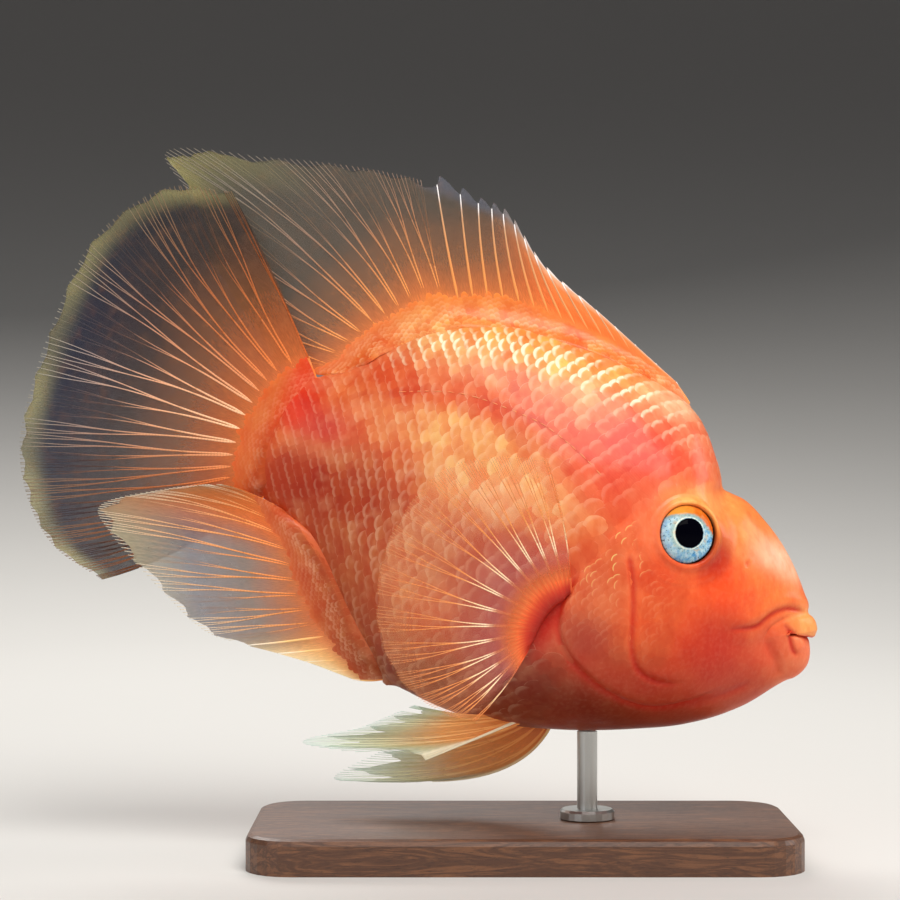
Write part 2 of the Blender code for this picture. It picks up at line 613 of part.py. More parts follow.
def build_middle_fins():
    dorsal = fin("dorsal", side_rays(DORSAL, rear_sway(DORSAL_SWAY, 0.45)), (0.6, 3.0), 7.0, 1.4)
    anal = fin("anal", side_rays(ANAL, rear_sway(ANAL_SWAY, 0.25)), (2.6, 0.9), 6.0, 1.4)
    caudal = fin("caudal", side_rays(CAUDAL, caudal_sway, 5.0), (2.6, 2.6), 9.0, 0.8)
    return {"dorsal_fin": dorsal, "anal_fin": anal, "tail_fin": caudal}


def build_paired_fins(skin):
    made = {}
    for side, side_name in ((-1, "right"), (1, "left")):
        stand_off = np.array(PECTORAL_STAND[side])

        def beside_flank(share, x, z):
            bulge = 1 + 0.25 * math.sin(math.pi * share)
            return side * (skin.out(x, z) + stand_off * (1, bulge, bulge))

        def from_middle(share, x, z):
            return side * np.array(PELVIC_FROM_MIDDLE[side])

        rays = side_rays(PECTORAL, beside_flank, PECTORAL_PAD)
        for ray in rays:  # the pad's inner edge lies in the flank
            ray[0, 1] = side * (skin.out(ray[0, 0], ray[0, 2]) - 1.6)
        made[f"pectoral_fin_{side_name}"] = fin("pectoral", rays, (2.8, 2.8), 4.6, 0.7, 1.2, 0.6)
        rays = side_rays(PELVIC[side], from_middle)
        made[f"pelvic_fin_{side_name}"] = fin("pelvic", rays, (1.6, 1.6), 4.0, 0.8, 1.4, 0.7)
    return made


def build_fins(skin):
    """All fins, each cut back to stop a gap short of the body that it grows from."""
    grown = loft("grown", body_rings(-5.2, 1.4, 1.65) + body_rings(4.4, 112, 3.2), GAP)
    for name, piece in {**build_middle_fins(), **build_paired_fins(skin)}.items():
        combine(piece, grown, "DIFFERENCE", "MANIFOLD")
        finish(piece, name, FIN_AMBER, 0.4)
    return grown


# Stand

def build_base():
    """A rounded wooden plate."""
    bpy.ops.mesh.primitive_cube_add(size=1, location=(0, 0, BASE_THICKNESS * MM / 2))
    bpy.context.object.scale = (BASE_LENGTH * MM, BASE_WIDTH * MM, BASE_THICKNESS * MM)
    plate = adopt("plate")
    shape = bmesh.new()
    shape.from_mesh(plate.data)
    upright = [edge for edge in shape.edges
               if abs((edge.verts[0].co - edge.verts[1].co).z) > 0.5 * BASE_THICKNESS * MM]
    bmesh.ops.bevel(shape, geom=upright, offset=BASE_CORNER * MM, segments=6, profile=0.5, affect="EDGES")
    upper = [edge for edge in shape.edges
             if all(vertex.co.z > (BASE_THICKNESS - 0.01) * MM for vertex in edge.verts)
             and any(abs(face.normal.z) < 0.5 for face in edge.link_faces)]
    bmesh.ops.bevel(shape, geom=upper, offset=BASE_BEVEL * MM, segments=2, profile=0.5, affect="EDGES")
    shape.to_mesh(plate.data)
    shape.free()
    finish(plate, "stand_base", WALNUT, 0.4)


def build_rod(grown):
    """A steel rod on a round flange, cut to fit a gap under the throat."""
    throat = fish_to_world @ (Vector((ROD_UNDER, 0, belly(ROD_UNDER))) * MM) / MM
    foot = BASE_THICKNESS + GAP
    profile = [(0, throat.z + 8), (ROD_RADIUS, throat.z + 8), (ROD_RADIUS, foot + FLANGE_THICKNESS),
               (FLANGE_RADIUS - 0.6, foot + FLANGE_THICKNESS), (FLANGE_RADIUS, foot + FLANGE_THICKNESS - 0.6),
               (FLANGE_RADIUS, foot), (0, foot)]
    mesh = bpy.data.meshes.new("rod")
    edges = [(k, k + 1) for k in range(len(profile) - 1)]
    mesh.from_pydata([Vector((radius, 0, z)) * MM for radius, z in profile], edges, [])
    rod = bpy.data.objects.new("rod", mesh)
    helpers.objects.link(rod)
    screw = rod.modifiers.new("turn", "SCREW")
    screw.steps = 24
    screw.render_steps = 24
    screw.use_merge_vertices = True
    screw.merge_threshold = 0.00001
    applied(rod)
    rod.data.transform(Matrix.Translation((throat.x * MM, 0, 0)))
    body = copy_of(grown, "body_in_place")
    body.data.transform(fish_to_world)
    combine(rod, body, "DIFFERENCE")
    finish(rod, "stand_rod", STEEL, 0.3, 1.0)


def main():
    for old in list(bpy.data.objects):
        bpy.data.objects.remove(old)
    bpy.context.scene.collection.children.link(helpers)
    bpy.context.scene.collection.children.link(fish)
    grown = build_fins(build_body())
    for piece in fish.objects:
        piece.data.transform(fish_to_world)
    build_base()
    build_rod(grown)
    for helper in list(helpers.objects):
        bpy.data.objects.remove(helper)
    bpy.data.collections.remove(helpers)
    for piece in fish.objects:
        piece.data.shade_smooth()
        piece.data.set_sharp_from_angle(angle=math.radians(50))


main()
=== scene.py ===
"""The looks of a life-size blood parrot cichlid that is held nose down over a plain stand.

Shapes are worked out in the fish's own frame, in millimetres: x runs from the tail joint to the lips, y to
the fish's left and z to its back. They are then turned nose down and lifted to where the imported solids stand.
"""

import math

import bpy
import numpy as np
from mathutils import Matrix, Vector
from mathutils.bvhtree import BVHTree


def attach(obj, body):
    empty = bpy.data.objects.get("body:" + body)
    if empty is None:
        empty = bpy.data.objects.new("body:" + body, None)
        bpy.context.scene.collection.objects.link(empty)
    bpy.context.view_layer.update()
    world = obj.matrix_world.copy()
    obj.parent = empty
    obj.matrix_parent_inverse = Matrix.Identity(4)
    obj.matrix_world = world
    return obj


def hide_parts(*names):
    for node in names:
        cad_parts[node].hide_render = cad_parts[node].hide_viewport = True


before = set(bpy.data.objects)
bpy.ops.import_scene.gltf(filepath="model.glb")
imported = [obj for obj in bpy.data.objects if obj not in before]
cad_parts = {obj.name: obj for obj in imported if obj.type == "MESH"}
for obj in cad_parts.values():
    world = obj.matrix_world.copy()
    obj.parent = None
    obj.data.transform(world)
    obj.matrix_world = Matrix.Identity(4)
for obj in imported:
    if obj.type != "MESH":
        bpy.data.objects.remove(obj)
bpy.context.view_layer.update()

MM = 0.001
random = np.random.default_rng(11)

# Pose, as in the solids
NOSE_DOWN = 19.5
NOSE_TURN = math.radians(NOSE_DOWN)
TAIL_JOINT = (-60.0, 0.0, 106.0)
SIDES = ((-1, "right"), (1, "left"))

# Outline of the body from the side, as rows of x and z
BACK = [(-5.2, 1.0), (-4.6, 7.0), (-3.4, 12.4), (-1.0, 16.0), (2.4, 18.3), (8, 22.0), (15, 31.0), (23, 38.8),
        (32, 44.0), (42, 47.2), (54, 48.4), (66, 48.2), (78, 46.9), (88, 44.8), (94, 42.6), (98.5, 39.6),
        (102, 35.6), (105.2, 30.8), (107.4, 27.3), (109.2, 25.6), (111, 25.3), (115, 24.9), (122, 21.5),
        (129, 16.7), (134.5, 11.4), (138, 7.3)]
BELLY = [(-5.2, -9.0), (-4.4, -12.0), (-2.8, -14.8), (-0.4, -16.6), (4, -17.4), (11, -20.9), (20, -29.0),
         (29, -37.6), (37, -44.3), (44, -49.2), (52, -50.8), (64, -51.6), (74, -50.6), (90, -46.8),
         (108, -40.2), (120, -34.6), (129, -28.4), (135, -22.6), (138, -18.6)]

# Half its width; how high it is widest; how full it is above and below; how far cheeks lie behind the snout
HALF_WIDTH = [(-5.2, 1.3), (-3, 2.6), (0, 3.9), (8, 7.0), (20, 12.0), (35, 17.6), (50, 22.2), (65, 25.6),
              (80, 27.4), (92, 27.2), (103, 25.3), (113, 22.4), (123, 18.5), (132, 14.4), (138, 11.6)]
WIDEST = [(-5.2, 0.50), (50, 0.48), (80, 0.44), (100, 0.42), (120, 0.43), (138, 0.46)]
FULL_ABOVE = [(-5.2, 1.15), (20, 1.28), (60, 1.22), (88, 1.0), (104, 0.88), (125, 0.88), (138, 0.92)]
FULL_BELOW = [(-5.2, 1.2), (14, 1.5), (34, 1.38), (50, 1.06), (70, 0.92), (120, 0.88), (138, 0.92)]
CHEEKS_BACK = [(-5.2, 0), (100, 0), (115, 1.5), (127, 4.8), (138, 9.0)]

# Rings over the lips into the mouth: upper x and z, lower x and z, half width, how far the corners lie back
LIPS = [(139.6, 4.7, 140.4, -15.7, 10.7, 9.8),
        (140.4, 2.9, 142.5, -14.2, 10.0, 10.8),
        (141.8, 2.2, 144.0, -12.0, 9.8, 10.3),
        (143.3, 0.8, 144.7, -9.4, 9.2, 9.2),
        (144.1, -0.6, 144.4, -7.0, 8.5, 8.2),
        (144.1, -2.1, 143.6, -4.9, 7.8, 7.4),
        (143.4, -3.1, 142.8, -3.5, 7.0, 6.9),
        (142.5, -3.3, 142.2, -3.0, 6.2, 6.2)]

# Lines on the side of the head and body, as x and z
NAPE_FOLD = [(108.9, 26.2), (103.2, 23.1), (97.8, 20.7), (93.8, 17.8), (90.5, 13.0)]
COVER_EDGE = [(87.5, 9.5), (82.6, 1.5), (79.8, -8.0), (78.4, -14.5), (78.7, -18.0), (80.0, -21.7),
              (82.1, -24.6), (86.1, -27.8), (91.7, -30.5), (98.0, -32.4), (104.3, -32.9), (109.9, -31.9),
              (115.4, -29.0), (122.8, -23.5), (129.7, -17.4)]
CHEEK_EDGE = [(89.7, 2.2), (91.4, -0.8), (93.3, -4.8), (96.2, -13.1), (98.2, -19.3), (99.7, -22.0),
              (102.1, -24.4), (105.8, -25.3), (110.3, -24.8), (115.4, -22.5)]
LIP_FOLD = [(119.0, -8.4), (121.8, -7.1), (123.5, -6.4), (125.4, -5.7), (127.6, -4.3), (129.0, -2.2),
            (130.3, -0.4), (131.9, 1.0), (133.9, 2.1), (136.6, 2.6), (140.4, 2.9)]
MOUTH_LINE = [(133.6, -1.7), (135.4, -2.5), (137.6, -3.2)]
LOWER_LIP_FOLD = [(135.0, -2.5), (136.4, -3.5), (137.4, -5.3), (138.9, -7.4), (140.9, -8.6)]
LIP_BACK = [(131.6, -6.0), (132.8, -8.4), (136.4, -12.8), (138.6, -15.6)]
JAW_CREASE = [(117.0, -29.8), (124.7, -24.4), (132.1, -18.1)]
LATERAL_LINE = [(10.2, 15.0), (23, 20.9), (40.2, 25.9), (56.7, 25.5), (69.4, 21.8), (80, 16.5)]

# Single places, as x and z
COVER_NOTCH = (79.6, -12.2)
PECTORAL_HOLLOW = (76.0, -19.5)
NOSTRIL = (119.5, 9.5)
VENT_X = 44.6

# Eyes
EYE = (101.7, 11.0)
EYE_OUT = 23.1  # how far from the middle the skin round it lies
EYE_RADIUS = 7.9
EYE_DEPTH = 5.2  # height of its dome
EYE_SUNK = 2.0  # how deep the dome's foot lies under that skin
EYE_FORWARD = 14.0  # degrees that it looks forward, and up
EYE_UP = 10.0
EYE_SHOWN = 7.3  # radius of what the lid leaves in sight
EYE_EDGE = 7.6  # radius of the piece
PUPIL_BACK = 0.75  # how far the pupil sits behind the middle of the eye
ORBIT = (8.5, 14.0)  # where the skin turns to lie along the eye, by what share, and how far it rises
ORBIT_SHARE = 0.85
ORBIT_RISE = 3.2
BED_RADIUS = 8.6
BED_DEPTH = 3.0

COAT = 0.25  # depth of the scales over the skin
SKIN_FROM = -5.2
HEAD_FROM = 76.0  # the skin's rings stand closer from here on
SKIN_TO = 138.0  # and end here, where those of the lips begin

# Key rays of each middle fin: number, then x and z of root, middle and tip
DORSAL = [(0, 92.5, 43.9, 90.7, 45.4, 88.7, 47.2), (4, 75.6, 47.4, 69.3, 52.8, 63.2, 57.7),
          (7, 64.0, 48.5, 55.8, 55.6, 48.0, 63.2), (11, 47.9, 47.4, 39.1, 60.6, 32.6, 72.9),
          (13, 39.1, 45.9, 31.3, 60.5, 25.7, 73.4), (15, 32.0, 43.9, 23.0, 58.4, 14.1, 74.4),
          (17, 25.9, 40.4, 10.0, 59.2, -3.4, 72.6), (19, 21.0, 36.5, -1.4, 53.8, -27.6, 67.1),
          (21, 16.8, 32.3, -16.5, 47.5, -54.5, 58.1), (22, 14.7, 30.5, -12.2, 38.6, -44.0, 50.0),
          (23, 12.8, 28.4, -9.6, 31.4, -35.8, 38.1), (25, 9.3, 22.8, -2.9, 21.2, -15.0, 22.1),
          (26, 5.5, 19.6, -3.2, 17.6, -10.5, 17.8)]
ANAL = [(0, 42.4, -49.9, 39.3, -51.3, 35.8, -52.2), (2, 35.5, -45.8, 29.4, -49.3, 22.9, -52.0),
        (4, 30.2, -41.5, 19.3, -47.5, 7.9, -52.9), (5, 27.8, -38.6, 13.7, -46.2, -1.2, -53.4),
        (7, 23.3, -33.6, 2.5, -40.9, -17.0, -47.2), (9, 18.9, -28.9, -7.8, -32.4, -35.0, -37.0),
        (10, 16.1, -26.3, -11.0, -27.8, -39.4, -32.7), (12, 9.3, -21.7, -8.4, -19.9, -25.5, -22.4),
        (13, 6.2, -19.4, -5.2, -17.4, -17.6, -18.4), (14, 3.0, -17.2, -4.4, -15.8, -11.5, -16.0)]
CAUDAL = [(0, 1.2, 17.5, -16.0, 37.0, -34.5, 55.1), (2, -1.6, 11.9, -29.2, 29.4, -51.4, 49.6),
          (4, -3.6, 6.6, -35.4, 18.9, -63.9, 31.1), (6, -4.8, 1.4, -36.0, 4.6, -66.6, 5.4),
          (8, -5.2, -3.7, -35.4, -9.6, -66.0, -16.6), (11, -4.6, -10.2, -30.3, -24.8, -57.4, -37.6),
          (13, -3.4, -13.4, -24.5, -32.0, -47.5, -46.0), (15, -1.3, -15.8, -16.3, -35.4, -33.2, -49.8)]
DORSAL_SWAY = 5.0
ANAL_SWAY = -8.0
CAUDAL_SWAY = 3.0

# The same for the paired fins, with how far root, middle and tip stand off the side or the middle
PECTORAL = [(0, 79.4, -11.4, 71.9, 4.2, 62.7, 17.2), (2, 77.4, -13.4, 63.5, 1.7, 51.4, 13.8),
            (4, 75.6, -16.2, 54.1, -3.7, 39.3, 5.5), (6, 74.5, -19.6, 51.0, -16.1, 33.2, -13.4),
            (8, 74.0, -22.6, 53.0, -28.7, 36.8, -32.8), (10, 73.9, -25.0, 60.4, -37.0, 47.6, -45.2),
            (12, 74.2, -27.0, 68.4, -39.2, 61.6, -49.2), (13, 74.5, -28.0, 71.8, -39.6, 67.6, -48.6)]
PECTORAL_STAND = {-1: (1.2, 6.6, 11.0), 1: (1.2, 7.6, 13.4)}
PECTORAL_PAD = 1.2  # how deep its root lies in the side, and how far inwards that root leans
PECTORAL_DIP = 3.2
PELVIC = {
    -1: [(0, 83.5, -43.4, 71.2, -54.2, 60.0, -63.9), (1, 82.6, -44.0, 67.0, -56.4, 32.7, -69.9),
         (3, 81.0, -45.0, 63.6, -53.6, 42.8, -61.0), (5, 79.2, -45.6, 66.5, -49.8, 52.9, -51.8)],
    1: [(0, 88.5, -44.0, 82.4, -60.0, 64.4, -71.4), (1, 87.4, -44.5, 76.0, -63.4, 42.1, -79.0),
        (3, 85.2, -45.4, 69.3, -60.2, 48.8, -68.7), (5, 83.2, -46.0, 70.2, -56.4, 57.6, -60.9)]}
PELVIC_FROM_MIDDLE = {-1: (6.6, 10.0, 13.5), 1: (6.4, 8.6, 10.5)}

# Scales: how far apart they stand along a row, and two rows apart, at places along x
SCALE_STEP = [(-5.2, 1.7), (10, 2.0), (30, 2.6), (55, 3.1), (80, 3.3), (100, 2.9), (112, 2.5)]
SCALE_ROW = [(-5.2, 3.4), (10, 4.2), (30, 5.2), (55, 6.2), (80, 6.4), (100, 5.6), (112, 4.8)]
MIDDLE_ROW = [(-5.2, -3), (0, 1), (10, 8), (23, 16), (40, 22), (56.7, 23), (69.4, 20), (80, 15), (95, 8),
              (112, 0)]

fish_to_world = (Matrix.Translation(Vector(TAIL_JOINT) * MM)
                 @ Matrix.Rotation(NOSE_TURN, 4, "Y") @ Matrix.Scale(MM, 4))


# Lines and surfaces

def curve(keys):
    """A smooth function of one number through rows of that number and one or more values."""
    table = np.array(keys, float)
    at, values = table[:, 0], table[:, 1:]
    slope = np.gradient(values, at, axis=0)
    chord = np.diff(values, axis=0) / np.diff(at)[:, None]
    for k in range(len(chord)):
        for row in (k, k + 1):
            limit = 3 * np.abs(chord[k])
            slope[row] = np.clip(slope[row], -limit, limit)

    def read(number):
        number = np.clip(np.asarray(number, float), at[0], at[-1])
        k = np.clip(np.searchsorted(at, number) - 1, 0, len(at) - 2)
        span = (at[k + 1] - at[k])[..., None]
        t = (number - at[k])[..., None] / span
        found = (values[k] * (1 + 2 * t) * (1 - t) ** 2 + slope[k] * span * t * (1 - t) ** 2
                 + values[k + 1] * t * t * (3 - 2 * t) + slope[k + 1] * span * t * t * (t - 1))
        return found[..., 0] if values.shape[1] == 1 else found

    return read


def path(points, count):
    """Points along a smooth line through the given ones."""
    points = np.array(points, float)
    along = distances(points)
    return curve(np.column_stack([along / along[-1], points]))(np.linspace(0, 1, count))


def ease(value, start, end):
    """Rises smoothly from 0 to 1 between two values."""
    t = np.clip((value - start) / (end - start), 0, 1)
    return t * t * (3 - 2 * t)


def bump(distance, width):
    return np.exp(-(distance / width) ** 2)


def circle(count):
    """Angles all the way round."""
    return np.linspace(0, 2 * math.pi, count, endpoint=False)


def unit(vectors):
    return vectors / np.maximum(np.linalg.norm(vectors, axis=-1, keepdims=True), 1e-9)


def distances(points):
    """How far along a line its points lie."""
    return np.concatenate([[0], np.cumsum(np.linalg.norm(np.diff(points, axis=0), axis=1))])


def from_eye(x, z):
    return np.hypot(x - EYE[0], z - EYE[1])


def off_line(line, x, z):
    """How far points seen from the side lie from a line, positive above it, and what share along it."""
    points = path(line, 4 * len(line))
    start, step = points[:-1], np.diff(points, axis=0)
    best = np.full(np.shape(x), 1e9)
    along, sign = np.zeros_like(best), np.ones_like(best)
    for k, (origin, run) in enumerate(zip(start, step)):
        share = np.clip(((x - origin[0]) * run[0] + (z - origin[1]) * run[1]) / (run ** 2).sum(), 0, 1)
        away_x, away_z = x - origin[0] - share * run[0], z - origin[1] - share * run[1]
        distance = np.hypot(away_x, away_z)
        closer = distance < best
        best = np.where(closer, distance, best)
        along = np.where(closer, (k + share) / len(step), along)
        sign = np.where(closer, np.where(run[0] * away_z - run[1] * away_x > 0, -1.0, 1.0), sign)
    return best * sign, along


back, belly, half_width, widest = curve(BACK), curve(BELLY), curve(HALF_WIDTH), curve(WIDEST)
full_above, full_below, cheeks_back = curve(FULL_ABOVE), curve(FULL_BELOW), curve(CHEEKS_BACK)


def ring_points(top, bottom, half, middle, above, below, behind, turn):
    """Rings of points, one row a station, from the back down the right side and up the left."""
    up, side = np.cos(turn)[None, :, None], -np.sin(turn)[None, :]
    centre = bottom + middle[:, None] * (top - bottom)
    reach = np.where(up > 0, (top - centre)[:, None], (centre - bottom)[:, None])
    flat = centre[:, None] + up * reach
    fullness = np.where(up[..., 0] > 0, above[:, None], below[:, None])
    across = half[:, None] * np.sign(side) * np.abs(side) ** fullness
    return np.stack([flat[..., 0] - behind[:, None] * side ** 2, across, flat[..., 1]], axis=-1)


def body_points(x, turn):
    top, bottom = np.column_stack([x, back(x)]), np.column_stack([x, belly(x)])
    table = (read(x) for read in (half_width, widest, full_above, full_below, cheeks_back))
    return ring_points(top, bottom, *table, turn)


def lip_points(count, turn):
    rows = path(LIPS, count)
    full, gap = np.full(count, 0.9), np.full(count, 0.47)  # the lips' fullness, and how high they meet
    rings = ring_points(rows[:, :2], rows[:, 2:4], rows[:, 4], gap, full, full, rows[:, 5], turn)
    middle = (0.47 * rows[:, 1] + 0.53 * rows[:, 3])[:, None]
    pinch = 1.3 * ease(np.linspace(0, 1, count), 0.25, 0.7)[:, None]  # the corners of the mouth stay shut
    rings[..., 2] = middle + (rings[..., 2] - middle) * np.abs(np.cos(turn)) ** pinch
    return rings


def settled(points):
    """The plain body's points, with the skin round each eye turned to lie along it."""
    x, y, z = points[..., 0], points[..., 1], points[..., 2]
    inner, outer = ORBIT
    near = np.clip((outer - from_eye(x, z)) / (outer - inner), 0, 1)
    share = ORBIT_SHARE * near * near * (3 - 2 * near) * np.clip(np.abs(y) / EYE_OUT * 3 - 1, 0, 1)
    plane = (EYE_OUT - math.tan(math.radians(EYE_FORWARD)) * (x - EYE[0])
             - math.tan(math.radians(EYE_UP)) * (z - EYE[1]))
    out = np.sign(y) * (np.abs(y) + share * np.minimum(plane - np.abs(y), ORBIT_RISE))
    return np.stack([x, out, z], axis=-1)


def off_middle(points):
    """0 at the middle of the body, 1 on its sides."""
    return ease(np.abs(points[..., 1]), 3.0, 7.0)


def eye_bed(points):
    """How deep the eye's bed, under the lid, lies in the skin."""
    inside = BED_RADIUS - from_eye(points[..., 0], points[..., 2])
    return off_middle(points) * BED_DEPTH * ease(inside, 0, 1.0)


def relief(points):
    """How far the finished skin stands out from the plain body, and how deep in a crease each point lies."""
    x, z = points[..., 0], points[..., 2]
    flank = off_middle(points)
    height, crease = np.zeros_like(x), np.zeros_like(x)

    # Fold of the nape, with the forehead hump above it
    off, along = off_line(NAPE_FOLD, x, z)
    above = 1 / (1 + np.exp(-off / 0.9)) * bump(np.maximum(off, 0), 9)
    fold = np.clip(1 - along, 0, 1)
    height += fold * (0.9 * above - 0.3 * bump(off, 1.5))
    crease += 0.2 * fold * bump(off, 1.2)

    # Full cheeks
    height += 1.0 * bump(np.hypot(x - 110, z + 12), 13)
    height += 0.7 * bump(np.hypot((x - 117) / 1.3, z - 2), 7)  # under the eye towards the lip
    height -= 0.5 * bump(np.hypot((x - 122) / 1.4, z + 10), 5)

    # Rear edge of the gill cover
    off, along = off_line(COVER_EDGE, x, z)
    lower = ease(along, 0.12, 0.30) * (1 - ease(along, 0.78, 0.95))
    inside = np.where(off < 0, 1 - np.exp(np.minimum(off, 0) / 0.7), 0) * np.exp(np.minimum(off, 0) / 14)
    step = 0.85 * inside * (1 - ease(along, 0.85, 1)) - 0.35 * bump(off, 0.9)
    height += flank * (0.1 + 0.9 * lower) * step
    crease += flank * lower * bump(off - 0.2, 0.95) * 0.55
    notch = bump(np.hypot(x - COVER_NOTCH[0], z - COVER_NOTCH[1]), 3.0)
    crease += 0.8 * notch * bump(off - 0.3, 1.2)
    height -= 0.5 * notch * bump(off - 0.5, 1.0)

    # Lines: depth, half their width, tint (how much crease colour, partly painted shade, they get), and over
    # which shares of their length they come and go
    for line, depth, width, tint, start, end in (
            (CHEEK_EDGE, 0.50, 0.65, 0.65, 0.05, 0.75), (LIP_FOLD, 0.46, 0.62, 0.85, 0.3, 1.2),
            (MOUTH_LINE, 0.20, 0.60, 0.55, 0.4, 1.2), (LOWER_LIP_FOLD, 0.42, 0.60, 0.80, 0.3, 0.8),
            (LIP_BACK, 0.40, 1.30, 0.25, 0.2, 0.8), (JAW_CREASE, 0.35, 1.10, 0.35, 0.2, 0.8)):
        off, along = off_line(line, x, z)
        ends = ease(along, 0.0, start) * (1 - ease(along, end, 1.0 if end < 1 else 2.0))
        height -= flank * ends * depth * bump(off, width)
        crease += flank * ends * tint * bump(off, width * 1.1)
        if line is CHEEK_EDGE:
            height += 0.3 * ends * bump(off + 1.9, 1.8)
        if line is LIP_FOLD:
            height += 0.45 * ends * bump(off + 2.2, 1.6) + 0.2 * ends * bump(off - 2.4, 1.6)
        if line is LOWER_LIP_FOLD:
            height += 0.35 * ends * bump(off + 2.4, 1.6)

    # Small hollows and swellings
    hollow = bump(np.hypot((x - PECTORAL_HOLLOW[0]) / 2.2, (z - PECTORAL_HOLLOW[1]) / 5.5), 1.0)
    height -= 0.9 * hollow
    crease += 0.85 * hollow

    spot = np.hypot(x - NOSTRIL[0], z - NOSTRIL[1])
    height += flank * (0.12 * bump(spot - 1.1, 0.5) - 0.6 * bump(spot, 0.55))
    crease += flank * 0.45 * bump(spot, 0.6)

    vent = np.hypot(x - VENT_X, points[..., 1] * 1.2)
    height += 1.6 * bump(vent, 1.5) * ease(-z, 44, 49)

    socket = from_eye(x, z)
    for reach, depth in ((11.2, 0.16), (13.0, 0.11)):  # faint folds below and behind the eye
        arc = bump(socket - reach, 0.55) * ease(EYE[1] + 2 - z, 0, 6)
        height -= flank * depth * arc
        crease += flank * 0.12 * arc
    return height - eye_bed(points), np.clip(crease, 0, 1)


def normals_of(grid):
    """Unit normals, out of the body, of a grid of points that closes on itself along its second axis."""
    ahead = np.gradient(grid, axis=0)
    around = np.roll(grid, -1, axis=1) - np.roll(grid, 1, axis=1)
    normal = unit(np.cross(around, ahead))
    return normal * np.sign((normal * (grid - grid.mean(axis=1, keepdims=True))).sum())


# Markings

def tone(red, green, blue):
    """A colour from its values on screen, of 255, as the light that it gives back."""
    value = np.array([red, green, blue], float) / 255
    return np.where(value <= 0.04045, value / 12.92, ((value + 0.055) / 1.055) ** 2.4)


FLESH = tone(240, 132, 80)
# Pale rim of the scales: partly their own pale edge, partly painted highlight
PALE_RIM_AND_GLINT = tone(255, 214, 178)
# Dark red for creases: partly the skin's own redder folds, partly painted shade; the lateral line takes it as
# its own mark
DEEP_CREASE = tone(206, 42, 22)

